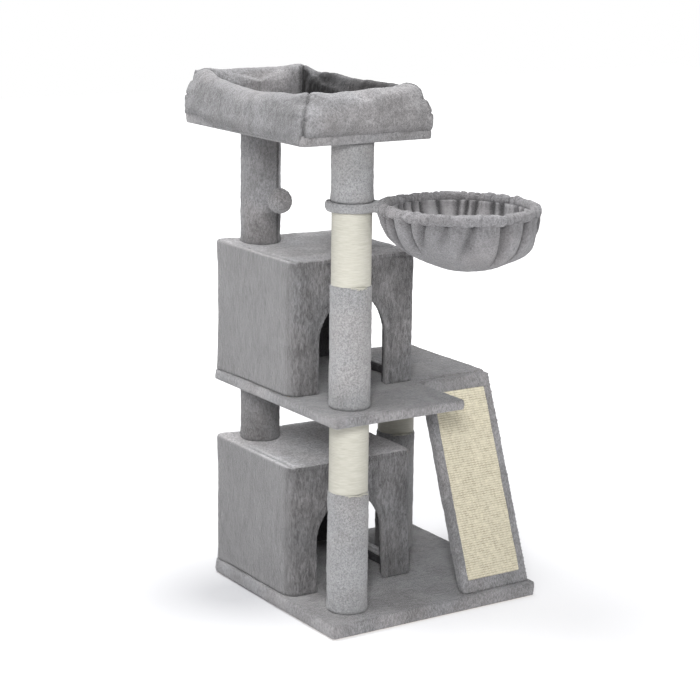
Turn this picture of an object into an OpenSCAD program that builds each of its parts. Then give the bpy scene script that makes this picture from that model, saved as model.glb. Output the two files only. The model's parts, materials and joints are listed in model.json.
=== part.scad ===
// Cat tree: two box houses, a step with a scratching ramp, three posts, a padded perch,
// a swivelling hammock and a ball on a string. Millimetres, +Z up, +X to the right along the
// front edge, +Y to the back. The origin is the centre of the base's underside.

/* [Base] */
// Width of the base along its front edge
base_w = 490; // [480:1:510]
// Depth of the base, front to back
base_d = 466; // [466:1:480]
// Height of the base with its cover
base_h = 30; // [28:1:34]
// Radius of the base's and platform's upright corners
board_corner_r = 9; // [8:1:18]

/* [Cover and fabric] */
// Thickness of the plush on boards and panels
cover_t = 4; // [3:0.5:5]
// Thickness of the plush wound on the posts
post_plush_t = 4.5; // [3:0.5:6]
// Thickness of the sisal wound on the posts
post_sisal_t = 2.6; // [2:0.1:4]

/* [Platform and step] */
// Height of the platform's top face
platform_top = 439; // [436:1:445]
// Thickness of the platform with its cover
platform_t = 20; // [18:1:22]
// Left edge of the platform
platform_x0 = -245; // [-250:1:-243]
// Right edge of the platform's front arm
platform_x1 = 55; // [50:1:60]
// Front edge of the platform
platform_y0 = -232; // [-236:1:-228]
// Back edge of the platform
platform_y1 = 233; // [231:1:236]
// Right edge of the step
step_x1 = 237; // [236:1:245]
// Front edge of the step
step_y0 = -50; // [-52:1:-48]

/* [Houses] */
// Left edge of both houses
house_x0 = -237; // [-240:1:-235]
// Width of a house
house_w = 288; // [284:1:290]
// Front edge of both houses
house_y0 = -56; // [-60:1:-54]
// Depth of a house
house_d = 286; // [280:1:288]
// Height of a house
house_h = 267; // [260:1:268]
// Thickness of a house panel without its plush
panel_t = 12; // [9:1:15]
// Radius of a house's upright front left edge
house_front_r = 26; // [20:1:28]
// Radius of a house's other upright edges
house_corner_r = 8; // [6:1:20]
// Half the width of a house's doorways
arch_half_w = 82; // [70:1:85]
// Height of a doorway's straight sides
arch_straight = 100; // [70:1:110]
// Height of a doorway's rounded top
arch_rise = 94; // [80:1:100]
// Height of the sill under each side doorway
sill_h = 17; // [10:1:25]

/* [Posts] */
// Radius of the cardboard tubes
tube_r = 35.5; // [33:0.5:38]
// Wall of the cardboard tubes
tube_wall = 4; // [3:0.5:5]
// Distance of the front and rear posts left of the middle
post_x = -168; // [-170:1:-166]
// Front post's place along the depth
front_post_y = -160; // [-162:1:-158]
// Rear post's place along the depth
rear_post_y = 176; // [174:1:178]
// Side post's place along the width
side_post_x = 125; // [120:1:130]
// Side post's place along the depth
side_post_y = 108; // [100:1:115]
// Height at which plush gives way to sisal on the lower posts
lower_sisal_z = 272; // [250:1:300]
// Height at which plush gives way to sisal above the platform
middle_sisal_z = 677; // [650:1:700]

/* [Perch] */
// Width of the perch
perch_w = 286; // [280:1:290]
// Depth of the perch
perch_d = 446; // [440:1:450]
// Height of the perch's underside
perch_z0 = 950; // [945:1:955]
// Thickness of the perch board with its cover
perch_t = 20; // [18:1:22]
// Height of the whole tree, at the top of the perch's rims
total_h = 1050; // [1045:1:1060]
// Width of a padded rim where it stands on the board
rim_w = 46; // [40:1:50]
// How far a rim's outer face leans in at the top
rim_lean = 12; // [8:1:14]
// Radius of a rim's rounded top
rim_top_r = 15; // [12:1:16]
// Radius of the perch's upright corners
perch_corner_r = 10; // [8:1:28]
// Thickness of the pad on the perch's floor
pad_t = 12; // [8:1:15]

/* [Hammock] */
// Direction of the hammock from the front post
hammock_turn = -39.4; // [-50:0.1:-30]
// Distance from the front post to the hammock's middle
hammock_reach = 201; // [200:1:205]
// Height of the hammock's ring
hammock_z = 827; // [825:1:829]
// Radius of the steel ring
ring_r = 143; // [140:1:144]
// Radius of the steel wire
ring_wire_r = 4; // [3:0.5:5]
// Radius of the gathered sleeve round the ring
sleeve_r = 10; // [8:0.5:10]
// Depth of the basket below the ring
basket_depth = 116; // [110:1:117]
// Radius of the padded collar between two post sections
collar_r = 53; // [50:1:55]
// Thickness of the padded collar
collar_t = 16; // [15:1:18]

/* [Ramp] */
// Left edge of the ramp
ramp_x0 = 73; // [70:1:76]
// Width of the ramp
ramp_w = 162; // [158:1:166]
// Front edge of the ramp's foot
ramp_foot_y = -220; // [-222:1:-218]
// Thickness of the ramp with its cover
ramp_t = 20; // [18:1:22]
// Sideways lean of the ramp's face per unit of height
ramp_slope = 0.3833; // [0.37:0.0001:0.40]
// Width of the plush border beside the sisal mat
mat_side = 17; // [14:1:20]
// Length of the plush border above and below the sisal mat
mat_end = 26; // [20:1:30]

/* [Toy] */
// Ball's place along the width
toy_x = -219; // [-222:1:-216]
// Ball's place along the depth
toy_y = 17; // [14:1:20]
// Height of the ball's middle
ball_z = 815; // [810:1:820]
// Radius of the ball
ball_r = 25; // [22:1:27]

/* [Hidden] */
$fn = 64;
eps = 0.01;   // how far a cutting shape passes a face
plush = [0.57, 0.57, 0.58];
dark_plush = [0.42, 0.42, 0.43];
sisal = [0.87, 0.84, 0.74];
board = [0.76, 0.62, 0.44];
cardboard = [0.66, 0.52, 0.36];
steel = [0.72, 0.73, 0.75];
black_plastic = [0.15, 0.15, 0.16];
backing_grey = [0.30, 0.30, 0.32];
// levels
backing_t = 2;
hem_w = 30;
platform_z0 = platform_top - platform_t;
lower_house_z1 = base_h + house_h;
upper_house_z1 = platform_top + house_h;
collar_z0 = hammock_z - collar_t / 2;
collar_z1 = hammock_z + collar_t / 2;
perch_z1 = perch_z0 + perch_t;
// house walls
house_x1 = house_x0 + house_w;
house_y1 = house_y0 + house_d;
wall_in = cover_t + panel_t;      // outer face to the inner face of a panel
lining_in = wall_in + cover_t;    // outer face to the inner face of the lining
turn_in = 3;                      // a panel stops this far short, where the plush turns in
arch_steps = 20;
corner_steps = 12;                // of a quarter circle
// front doorways: [how far right of the middle, how far the right jamb leans out at its foot]
lower_door = [-2, 7];
upper_door = [0, 0];
// posts: [x, y, bottom, top] of each cardboard tube
plug_h = 20;
front_lower = [post_x, front_post_y, base_h, platform_z0];
front_middle = [post_x, front_post_y, platform_top, collar_z0];
front_upper = [post_x, front_post_y, collar_z1, perch_z0];
rear_lower = [post_x, rear_post_y, lower_house_z1, platform_z0];
rear_upper = [post_x, rear_post_y, upper_house_z1, perch_z0];
side_only = [side_post_x, side_post_y, base_h, platform_z0];
side_post_extra = 16;             // the side post's plush reaches a little higher
ALL_TUBES = [front_lower, front_middle, front_upper, rear_lower, rear_upper, side_only];
plug_r = tube_r - tube_wall;
plush_r = tube_r + post_plush_t;
sisal_r = tube_r + post_sisal_t;
// fasteners
bolt_r = 4;
bolt_head_r = 9;
bolt_head_h = 5;
bolt_pocket_r = 11;
base_pocket_z = 10;
stud_grip = 16;                   // how deep a bolt or stud goes into an end plug
stud_stop = 1;                    // board left above a blind stud hole
screw_r = 2;
screw_head_r = 4;
screw_head_h = 3;
screw_l = 43;
screw_inset_y = 30;               // house screws' distance from the front and back
// perch
perch_x0 = post_x - perch_w / 2;
perch_y0 = (front_post_y + rear_post_y - perch_d) / 2;
rim_h = total_h - perch_z1;
rim_steps = 8;
pad_gap = 1;
// ramp: its side profile in the Y-Z plane leans on the step's edge
ramp_top_z = platform_top - 3;
ramp_stretch = sqrt(1 + ramp_slope * ramp_slope);   // slant length per unit of height
ramp_angle = atan(ramp_slope);                      // lean from upright
ramp_screw_in = 30;               // from the ramp's sides
ramp_foot_screw = 15;             // behind the foot's front edge
ramp_top_screw_z = platform_top - platform_t / 2;
// hammock
plate_r = 38;
plate_t = 4;
tongue_w = 28;
neck_w = 44;
collar_gap = 0.3;                 // running gap above and below the collar
bore_gap = 0.1;                   // running gap round the stud
basket_t = 4;
basket_r = ring_r + 5;
basket_steps = 14;
basket_power = 2; // [1.6:0.1:3]
// toy
eye_r = 4;
eye_wire = 1;
loop_wire = 0.9;
link_gap = 0.3;
string_r = 0.9;
string_eye_r = 2.6;
string_eye_wire = 0.8;
eye_z = perch_z0 - eye_r - 2;
eye_low = eye_z - eye_r;                                  // first swing axis
loop_z = eye_low + eye_wire + loop_wire + link_gap - eye_r;
loop_low = loop_z - eye_r;                                // second swing axis
string_eye_z = loop_low + loop_wire + string_eye_wire + link_gap - string_eye_r;
STRING_ROUTE = [
    [-219, 17, 931], [-219, 17, 924], [-219, 17, 918], [-219, 17, 912], [-219, 17, 906],
    [-219, 17, 900], [-219, 17, 894], [-219, 17, 888], [-219, 17, 882], [-219, 17, 876],
    [-219, 17, 870], [-219, 17, 864], [-219, 17, 858], [-219, 17, 852], [-219, 17, 846],
    [-219, 17, 840], [-219, 17, 836]
];
STRING_SIDES = 8;

// ---- shared shapes ----

function reversed(list) = [for (i = [len(list) - 1:-1:0]) list[i]];

// Upright block with rounded vertical edges
module rounded_block(x0, y0, x1, y1, z0, z1, r) {
    translate([0, 0, z0]) linear_extrude(z1 - z0) {
        translate([x0 + r, y0]) square([x1 - x0 - 2 * r, y1 - y0]);
        translate([x0, y0 + r]) square([x1 - x0, y1 - y0 - 2 * r]);
        for (x = [x0 + r, x1 - r], y = [y0 + r, y1 - r]) translate([x, y]) circle(r);
    }
}

// Points of a quarter circle of radius r about (x, y), from direction `start` on
function quarter(x, y, r, start) =
    [for (i = [0:corner_steps]) let (a = start + 90 * i / corner_steps) [x + r * cos(a), y + r * sin(a)]];

// Upright block with sharp edges
module block(x0, y0, x1, y1, z0, z1) {
    translate([x0, y0, z0]) cube([x1 - x0, y1 - y0, z1 - z0]);
}

module disc(x, y, z0, z1, r) {
    translate([x, y, z0]) cylinder(h = z1 - z0, r = r);
}

module ring(major, minor) {
    rotate_extrude($fn = 96) translate([major, 0]) circle(minor, $fn = 32);
}

// The slab `inset` inside the base's outer faces
module base_slab(inset, z0, z1) {
    rounded_block(-base_w / 2 + inset, -base_d / 2 + inset, base_w / 2 - inset,
        base_d / 2 - inset, z0, z1, board_corner_r - min(inset, cover_t));
}

// The L-shaped slab `inset` inside the platform's and the step's outer faces
module platform_slab(inset) {
    r = board_corner_r - inset;
    z0 = platform_z0 + inset;
    z1 = platform_top - inset;
    rounded_block(platform_x0 + inset, platform_y0 + inset, platform_x1 - inset,
        platform_y1 - inset, z0, z1, r);
    rounded_block(platform_x0 + inset, step_y0 + inset, step_x1 - inset,
        platform_y1 - inset, z0, z1, r);
}

// ---- fasteners ----

// Bolt with its head's seat at z, its shank running by `length` up (or down when negative)
module bolt(x, y, z, length) {
    up = length > 0;
    disc(x, y, up ? z - bolt_head_h : z, up ? z : z + bolt_head_h, bolt_head_r);
    disc(x, y, min(z, z + length), max(z, z + length), bolt_r);
}

// Wood screw along +Z from its head's outer face
module screw() {
    cylinder(h = screw_head_h, r = screw_head_r);
    cylinder(h = screw_l, r = screw_r);
}

module base_bolts() {
    color(steel) for (p = [front_lower, side_only])
        bolt(p[0], p[1], base_pocket_z, base_h + stud_grip - base_pocket_z);
}

module house_bolts() {
    color(steel) for (p = [rear_lower, rear_upper])
        bolt(p[0], p[1], p[2] - lining_in, lining_in + stud_grip);
}

module perch_bolts() {
    color(steel) for (p = [front_upper, rear_upper])
        bolt(p[0], p[1], perch_z1 - cover_t - bolt_head_h,
            -(perch_t - cover_t - bolt_head_h + stud_grip));
}

module joining_studs() {
    color(steel) {
        disc(post_x, front_post_y, platform_z0 - stud_grip, platform_top + stud_grip, bolt_r);
        disc(post_x, front_post_y, collar_z0 - stud_grip, collar_z1 + stud_grip, bolt_r);
        for (p = [rear_lower, side_only])
            disc(p[0], p[1], platform_z0 - stud_grip, platform_top - cover_t - stud_stop, bolt_r);
    }
}

module wood_screws() {
    wall_xs = [house_x0 + cover_t + panel_t / 2, house_x1 - cover_t - panel_t / 2];
    wall_ys = [house_y0 + screw_inset_y, house_y1 - screw_inset_y];
    color(steel) {
        for (x = wall_xs, y = wall_ys) {
            for (z = [backing_t, platform_z0]) translate([x, y, z]) screw();
            for (z = [lower_house_z1, upper_house_z1])
                translate([x, y, z - cover_t]) rotate([180, 0, 0]) screw();
        }
        for (x = [ramp_x0 + ramp_screw_in, ramp_x0 + ramp_w - ramp_screw_in]) {
            translate([x, ramp_foot_y + ramp_foot_screw, backing_t]) screw();
            translate([x, ramp_front(ramp_top_screw_z, cover_t), ramp_top_screw_z])
                rotate([-90, 0, 0]) screw();
        }
    }
}

// ---- base ----

module base_board() {
    color(board) difference() {
        base_slab(cover_t, backing_t, base_h - cover_t);
        for (p = [front_lower, side_only])
            disc(p[0], p[1], backing_t - eps, base_pocket_z, bolt_pocket_r);
        base_bolts();
        wood_screws();
    }
}

module base_cover() {
    color(plush) difference() {
        base_slab(0, 0, base_h);
        base_slab(cover_t, backing_t, base_h - cover_t);
        base_slab(hem_w, -eps, backing_t + eps);
        base_bolts();
        wood_screws();
    }
}

module base_backing() {
    color(backing_grey) difference() {
        base_slab(hem_w, 0, backing_t);
        for (p = [front_lower, side_only])
            disc(p[0], p[1], -eps, backing_t + eps, bolt_pocket_r);
    }
}

// ---- houses ----

// Outline of a doorway standing on z = 0, grown by `grow` at its sides and top, and `lean` wider on the
// right at its foot
function arch_points(grow, foot, lean) = concat(
    [[-arch_half_w - grow, -foot]],
    [for (i = [0:arch_steps]) let (a = 180 - 180 * i / arch_steps)
        [(arch_half_w + grow) * cos(a), arch_straight + (arch_rise + grow) * sin(a)]],
    [[arch_half_w + grow + lean, -foot]]
);

// Front doorway's cutting shape, from y0 to y1
module front_arch(z, grow, y0, y1, door) {
    translate([house_x0 + house_w / 2 + door[0], y1, z]) rotate([90, 0, 0])
        linear_extrude(y1 - y0) polygon(arch_points(grow, eps, door[1]));
}

// Side doorway's cutting shape, from x0 to x1, standing on its sill
module side_arch(z, grow, x0, x1) {
    translate([x0, house_y0 + house_d / 2, z + sill_h]) rotate([90, 0, 90])
        linear_extrude(x1 - x0) polygon(arch_points(grow, grow, 0));
}

module both_arches(z, door) {
    front_arch(z, 0, house_y0 - 1, house_y0 + lining_in + 1, door);
    side_arch(z, 0, house_x1 - lining_in - 1, house_x1 + 1);
}

// The house's outer shape, moved in by `inset` at the sides and the top
module house_block(z, inset) {
    z0 = inset > 0 ? z - eps : z;
    // an edge's rounding keeps its centre when the shape is moved in
    a = house_front_r;
    b = house_corner_r;
    translate([0, 0, z0]) linear_extrude(z + house_h - inset - z0) polygon(concat(
        quarter(house_x0 + a, house_y0 + a, a - inset, 180),
        quarter(house_x1 - b, house_y0 + b, b - inset, 270),
        quarter(house_x1 - b, house_y1 - b, b - inset, 0),
        quarter(house_x0 + b, house_y1 - b, b - inset, 90)));
}

// Keeps what lies within the plush, so that the panels' outer edges are rounded over
module house_panel(z) {
    color(board) intersection() {
        house_block(z, cover_t);
        children();
    }
}

module house_front(z, door) {
    house_panel(z) difference() {
        block(house_x0 + wall_in, house_y0 + cover_t, house_x1 - wall_in, house_y0 + wall_in,
            z, z + house_h - wall_in);
        front_arch(z, turn_in, house_y0, house_y0 + lining_in, door);
    }
}

module house_back(z) {
    house_panel(z) block(house_x0 + wall_in, house_y1 - wall_in, house_x1 - wall_in,
        house_y1 - cover_t, z, z + house_h - wall_in);
}

module house_left(z) {
    house_panel(z) difference() {
        block(house_x0 + cover_t, house_y0 + cover_t, house_x0 + wall_in, house_y1 - cover_t,
            z, z + house_h - wall_in);
        wood_screws();
    }
}

module house_right(z) {
    house_panel(z) difference() {
        block(house_x1 - wall_in, house_y0 + cover_t, house_x1 - cover_t, house_y1 - cover_t,
            z, z + house_h - wall_in);
        side_arch(z, turn_in, house_x1 - lining_in, house_x1);
        wood_screws();
    }
}

module house_top(z) {
    house_panel(z) difference() {
        block(house_x0 + cover_t, house_y0 + cover_t, house_x1 - cover_t, house_y1 - cover_t,
            z + house_h - wall_in, z + house_h - cover_t);
        wood_screws();
        house_bolts();
    }
}

module house_cover(z, door) {
    color(plush) difference() {
        house_block(z, 0);
        house_block(z, cover_t);
        both_arches(z, door);
        house_bolts();
    }
}

// Plush skin inside the panels, open below
module house_lining(z, door) {
    color(dark_plush) difference() {
        block(house_x0 + wall_in, house_y0 + wall_in, house_x1 - wall_in,
            house_y1 - wall_in, z, z + house_h - wall_in);
        block(house_x0 + lining_in, house_y0 + lining_in, house_x1 - lining_in,
            house_y1 - lining_in, z - eps, z + house_h - lining_in);
        both_arches(z, door);
        for (p = [rear_lower, rear_upper])
            translate([p[0], p[1], p[2] - lining_in - eps]) cylinder(r = bolt_r, h = lining_in);
    }
}

module lower_house_front() house_front(base_h, lower_door);
module lower_house_back() house_back(base_h);
module lower_house_left() house_left(base_h);
module lower_house_right() house_right(base_h);
module lower_house_top() house_top(base_h);
module lower_house_cover() house_cover(base_h, lower_door);
module lower_house_lining() house_lining(base_h, lower_door);
module upper_house_front() house_front(platform_top, upper_door);
module upper_house_back() house_back(platform_top);
module upper_house_left() house_left(platform_top);
module upper_house_right() house_right(platform_top);
module upper_house_top() house_top(platform_top);
module upper_house_cover() house_cover(platform_top, upper_door);
module upper_house_lining() house_lining(platform_top, upper_door);

// ---- posts ----

module sleeve(x, y, z0, z1, r_out, r_in) {
    difference() {
        disc(x, y, z0, z1, r_out);
        disc(x, y, z0 - eps, z1 + eps, r_in);
    }
}

module tube(p) {
    color(cardboard) sleeve(p[0], p[1], p[2], p[3], tube_r, tube_r - tube_wall);
}

module plush_sleeve(p, z0, z1) {
    color(plush) sleeve(p[0], p[1], z0, z1, plush_r, tube_r);
}

module sisal_sleeve(p, z0) {
    color(sisal) sleeve(p[0], p[1], z0, p[3], sisal_r, tube_r);
}

module front_post_lower_tube() tube(front_lower);
module front_post_lower_plush() plush_sleeve(front_lower, base_h, lower_sisal_z);
module front_post_lower_sisal() sisal_sleeve(front_lower, lower_sisal_z);
module front_post_middle_tube() tube(front_middle);
module front_post_middle_plush() plush_sleeve(front_middle, platform_top, middle_sisal_z);
module front_post_middle_sisal() sisal_sleeve(front_middle, middle_sisal_z);
module front_post_upper_tube() tube(front_upper);
module front_post_upper_plush() plush_sleeve(front_upper, collar_z1, perch_z0);
module rear_post_lower_tube() tube(rear_lower);
module rear_post_lower_plush() plush_sleeve(rear_lower, lower_house_z1, platform_z0);
module rear_post_upper_tube() tube(rear_upper);
module rear_post_upper_plush() plush_sleeve(rear_upper, upper_house_z1, perch_z0);
module side_post_tube() tube(side_only);
module side_post_plush() plush_sleeve(side_only, base_h, lower_sisal_z + side_post_extra);
module side_post_sisal() sisal_sleeve(side_only, lower_sisal_z + side_post_extra);

module post_end_plugs() {
    color(black_plastic) for (p = ALL_TUBES, z = [p[2], p[3] - plug_h])
        sleeve(p[0], p[1], z, z + plug_h, plug_r, bolt_r);
}

// ---- platform and step ----

module platform_board() {
    color(board) difference() {
        platform_slab(cover_t);
        joining_studs();
        wood_screws();
    }
}

module platform_cover() {
    color(plush) difference() {
        platform_slab(0);
        platform_slab(cover_t);
        joining_studs();
        wood_screws();
    }
}

// ---- perch ----

module perch_slab(inset, z0, z1) {
    rounded_block(perch_x0 + inset, perch_y0 + inset, perch_x0 + perch_w - inset,
        perch_y0 + perch_d - inset, z0, z1, max(perch_corner_r - inset, cover_t));
}

module perch_board() {
    color(board) difference() {
        perch_slab(cover_t, perch_z0 + cover_t, perch_z1 - cover_t);
        perch_bolts();
        toy_eyelet();
    }
}

module perch_cover() {
    color(plush) difference() {
        perch_slab(0, perch_z0, perch_z1);
        perch_slab(cover_t, perch_z0 + cover_t, perch_z1 - cover_t);
        perch_bolts();
        toy_eyelet();
    }
}

module perch_pad() {
    color(plush) perch_slab(rim_w + pad_gap, perch_z1, perch_z1 + pad_t);
}

// Cross-section of a rim: outer face at 0, leaning in, with a round top
function rim_points() = concat(
    [[0, 0]],
    [for (i = [0:rim_steps]) let (a = 180 - 180 * i / rim_steps)
        [rim_lean + rim_top_r * (1 + cos(a)), rim_h - rim_top_r * (1 - sin(a))]],
    [[rim_w, 0]]
);

// Rim of the given length along +X, its outer face towards -Y, mitred at both ends
module rim(length) {
    intersection() {
        translate([length, 0, 0]) rotate([90, 0, -90]) linear_extrude(length)
            mirror([1, 0, 0]) polygon(rim_points());
        linear_extrude(rim_h) polygon([[0, 0], [length, 0], [length - rim_w, rim_w],
            [rim_w, rim_w]]);
    }
}

// Puts a rim on the perch's board, turned about the corner (x, y), its corners rounded
module perch_rim(x, y, turn, length) {
    color(plush) intersection() {
        translate([x, y, perch_z1]) rotate([0, 0, turn]) rim(length);
        perch_slab(0, perch_z1, total_h);
    }
}

module perch_bolster_front() {
    perch_rim(perch_x0, perch_y0, 0, perch_w);
}

module perch_bolster_back() {
    perch_rim(perch_x0 + perch_w, perch_y0 + perch_d, 180, perch_w);
}

module perch_bolster_left() {
    perch_rim(perch_x0, perch_y0 + perch_d, -90, perch_d);
}

module perch_bolster_right() {
    perch_rim(perch_x0 + perch_w, perch_y0, 90, perch_d);
}

// ---- ramp ----

// Depth of the ramp's front face at height z, moved in by `inset`
function ramp_front(z, inset) =
    ramp_foot_y + ramp_slope * (z - base_h) + inset * ramp_stretch;

// Side outline of the ramp, moved in by `inset` on every side
function ramp_outline(inset) = let (
    z0 = base_h + inset,
    z1 = ramp_top_z - inset,
    y_edge = step_y0 - inset,
    back_in = ramp_t - inset,
    z_edge = base_h + (y_edge - ramp_foot_y - back_in * ramp_stretch) / ramp_slope
) [
    [ramp_front(z0, inset), z0], [ramp_front(z1, inset), z1], [y_edge, z1],
    [y_edge, z_edge], [ramp_front(z0, back_in), z0]
];

module ramp_body(inset) {
    translate([ramp_x0 + inset, 0, 0]) rotate([90, 0, 90])
        linear_extrude(ramp_w - 2 * inset) polygon(ramp_outline(inset));
}

// The window in the ramp's plush, `depth` deep from the face, that the mat fills
module ramp_window(proud, depth) {
    slant = (ramp_top_z - base_h) * ramp_stretch;
    translate([ramp_x0 + mat_side, ramp_foot_y, base_h]) rotate([-ramp_angle, 0, 0])
        translate([0, -proud, mat_end])
            cube([ramp_w - 2 * mat_side, depth + proud, slant - 2 * mat_end]);
}

module ramp_board() {
    color(board) difference() {
        ramp_body(cover_t);
        wood_screws();
    }
}

module ramp_cover() {
    color(plush) difference() {
        ramp_body(0);
        ramp_body(cover_t);
        ramp_window(1, cover_t);
        wood_screws();
    }
}

module ramp_sisal_panel() {
    color(sisal) ramp_window(0, cover_t);
}

// ---- hammock ----

// Places a shape built along +X from the front post's axis at the ring's height
module at_hammock() {
    translate([post_x, front_post_y, hammock_z]) rotate([0, 0, hammock_turn]) children();
}

module hammock_steel() {
    translate([0, 0, -plate_t / 2]) {
        cylinder(h = plate_t, r = plate_r);
        translate([0, -tongue_w / 2, 0]) cube([hammock_reach - ring_r, tongue_w, plate_t]);
    }
    translate([hammock_reach, 0, 0]) ring(ring_r, ring_wire_r);
}

module hammock_frame() {
    color(steel) at_hammock() difference() {
        hammock_steel();
        cylinder(h = collar_t, r = bolt_r + bore_gap, center = true);
    }
}

module hammock_collar_cover() {
    h = collar_t - 2 * collar_gap;
    color(plush) at_hammock() difference() {
        union() {
            cylinder(h = h, r = collar_r, center = true);
            translate([0, -neck_w / 2, -h / 2]) cube([hammock_reach - ring_r, neck_w, h]);
        }
        hammock_steel();
        cylinder(h = collar_t, r = bolt_r + bore_gap, center = true);
        translate([hammock_reach, 0, 0]) ring(ring_r, sleeve_r);
    }
}

module hammock_rim_sleeve() {
    color(plush) at_hammock() difference() {
        translate([hammock_reach, 0, 0]) ring(ring_r, sleeve_r);
        hammock_steel();
    }
}

// One side of the basket's wall, from the rim down to the middle of the bottom
function bowl_curve(r, depth) = [for (i = [0:basket_steps]) let (a = 90 * i / basket_steps)
    [r * pow(cos(a), 2 / basket_power), -depth * pow(sin(a), 2 / basket_power)]];

module hammock_basket() {
    color(plush) at_hammock() translate([hammock_reach, 0, 0]) difference() {
        rotate_extrude($fn = 96) polygon(concat(bowl_curve(basket_r, basket_depth),
            reversed(bowl_curve(basket_r - basket_t, basket_depth - basket_t))));
        ring(ring_r, sleeve_r);
    }
}

// ---- hanging ball ----

module at_toy(z) {
    translate([toy_x, toy_y, z]) children();
}

module toy_eyelet() {
    color(steel) {
        at_toy(eye_z) rotate([90, 0, 0]) ring(eye_r, eye_wire);
        disc(toy_x, toy_y, eye_z + eye_r, perch_z1 - 2 * cover_t, eye_wire);
    }
}

module toy_loop() {
    color(steel) at_toy(loop_z) rotate([0, 90, 0]) ring(eye_r, loop_wire);
}

module toy_string_eye() {
    color(dark_plush) at_toy(string_eye_z) rotate([90, 0, 0]) ring(string_eye_r, string_eye_wire);
}

// Tube with a ring of points round each point of an upright route
module toy_string() {
    n = len(STRING_ROUTE);
    points = [for (p = STRING_ROUTE, k = [0:STRING_SIDES - 1]) let (a = 360 * k / STRING_SIDES)
        p + string_r * [cos(a), sin(a), 0]];
    sides = [for (i = [0:n - 2], k = [0:STRING_SIDES - 1]) let (j = (k + 1) % STRING_SIDES)
        [i * STRING_SIDES + k, i * STRING_SIDES + j, (i + 1) * STRING_SIDES + j,
            (i + 1) * STRING_SIDES + k]];
    top = [for (k = [STRING_SIDES - 1:-1:0]) k];
    bottom = [for (k = [0:STRING_SIDES - 1]) (n - 1) * STRING_SIDES + k];
    color(dark_plush) polyhedron(points, concat(sides, [top, bottom]));
}

module toy_ball() {
    color(plush) at_toy(ball_z) sphere(ball_r);
}

base_board();
base_cover();
base_backing();
base_bolts();
lower_house_front();
lower_house_back();
lower_house_left();
lower_house_right();
lower_house_top();
lower_house_cover();
lower_house_lining();
upper_house_front();
upper_house_back();
upper_house_left();
upper_house_right();
upper_house_top();
upper_house_cover();
upper_house_lining();
front_post_lower_tube();
front_post_lower_plush();
front_post_lower_sisal();
front_post_middle_tube();
front_post_middle_plush();
front_post_middle_sisal();
front_post_upper_tube();
front_post_upper_plush();
rear_post_lower_tube();
rear_post_lower_plush();
rear_post_upper_tube();
rear_post_upper_plush();
side_post_tube();
side_post_plush();
side_post_sisal();
post_end_plugs();
joining_studs();
house_bolts();
wood_screws();
platform_board();
platform_cover();
perch_board();
perch_cover();
perch_pad();
perch_bolts();
perch_bolster_front();
perch_bolster_back();
perch_bolster_left();
perch_bolster_right();
ramp_board();
ramp_cover();
ramp_sisal_panel();
hammock_frame();
hammock_collar_cover();
hammock_rim_sleeve();
hammock_basket();
toy_eyelet();
toy_loop();
toy_string_eye();
toy_string();
toy_ball();
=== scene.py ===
"""Looks of the cat tree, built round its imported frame. Lengths here are in metres."""

import contextlib
import json
import math

import bmesh
import bpy
import numpy as np
from mathutils import Matrix, Vector


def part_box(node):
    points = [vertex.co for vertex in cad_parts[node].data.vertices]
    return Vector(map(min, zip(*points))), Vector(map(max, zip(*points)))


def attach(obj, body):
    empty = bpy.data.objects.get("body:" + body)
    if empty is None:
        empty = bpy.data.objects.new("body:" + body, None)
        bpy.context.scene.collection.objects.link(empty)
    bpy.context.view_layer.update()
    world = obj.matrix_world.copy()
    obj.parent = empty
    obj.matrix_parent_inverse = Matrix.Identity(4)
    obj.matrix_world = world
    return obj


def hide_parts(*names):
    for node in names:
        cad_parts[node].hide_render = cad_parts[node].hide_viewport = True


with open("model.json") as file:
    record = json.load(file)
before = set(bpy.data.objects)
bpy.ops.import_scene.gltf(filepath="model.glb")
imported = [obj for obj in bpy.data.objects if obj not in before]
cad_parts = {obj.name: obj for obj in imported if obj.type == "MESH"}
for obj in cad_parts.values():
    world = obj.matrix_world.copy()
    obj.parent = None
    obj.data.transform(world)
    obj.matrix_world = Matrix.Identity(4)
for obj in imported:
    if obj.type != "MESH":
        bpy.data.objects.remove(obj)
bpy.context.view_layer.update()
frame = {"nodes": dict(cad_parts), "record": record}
SCENE = bpy.context.scene
MM = 0.001


# ---- camera, light and floor ----


def make_camera(place, yaw, pitch, roll, lens):
    """yaw turns from +Y toward +X and pitch looks down, in degrees."""
    y, p, r = (math.radians(a) for a in (yaw, pitch, roll))
    ahead = Vector((math.sin(y) * math.cos(p), math.cos(y) * math.cos(p), -math.sin(p)))
    right = Vector((math.cos(y), -math.sin(y), 0))
    up = right.cross(ahead)
    right, up = right * math.cos(r) + up * math.sin(r), up * math.cos(r) - right * math.sin(r)
    data = bpy.data.cameras.new("camera")
    data.lens, data.sensor_width = lens, 36
    data.clip_start, data.clip_end = 0.1, 40
    cam = bpy.data.objects.new("camera", data)
    SCENE.collection.objects.link(cam)
    turn = Matrix((right, up, -ahead)).transposed()
    cam.matrix_world = Matrix.Translation(place) @ turn.to_4x4()
    SCENE.camera = cam


make_camera((-2.1719, -3.2244, 1.4101), yaw=33.179, pitch=13.223, roll=0.763, lens=101.80)


def area_light(name, place, target, size, power, colour=(1, 1, 1)):
    data = bpy.data.lights.new(name, "AREA")
    data.shape, data.size, data.energy, data.color = "DISK", size, power, colour
    lamp = bpy.data.objects.new(name, data)
    SCENE.collection.objects.link(lamp)
    lamp.location = place
    lamp.rotation_euler = (Vector(target) - Vector(place)).to_track_quat("-Z", "Y").to_euler()


area_light("key", (-2.35, -3.3, 2.3), (0, 0, 0.5), 1.1, 135)
area_light("over", (-0.9, 0.2, 3.3), (0, 0, 0.4), 1.6, 95)

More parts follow.
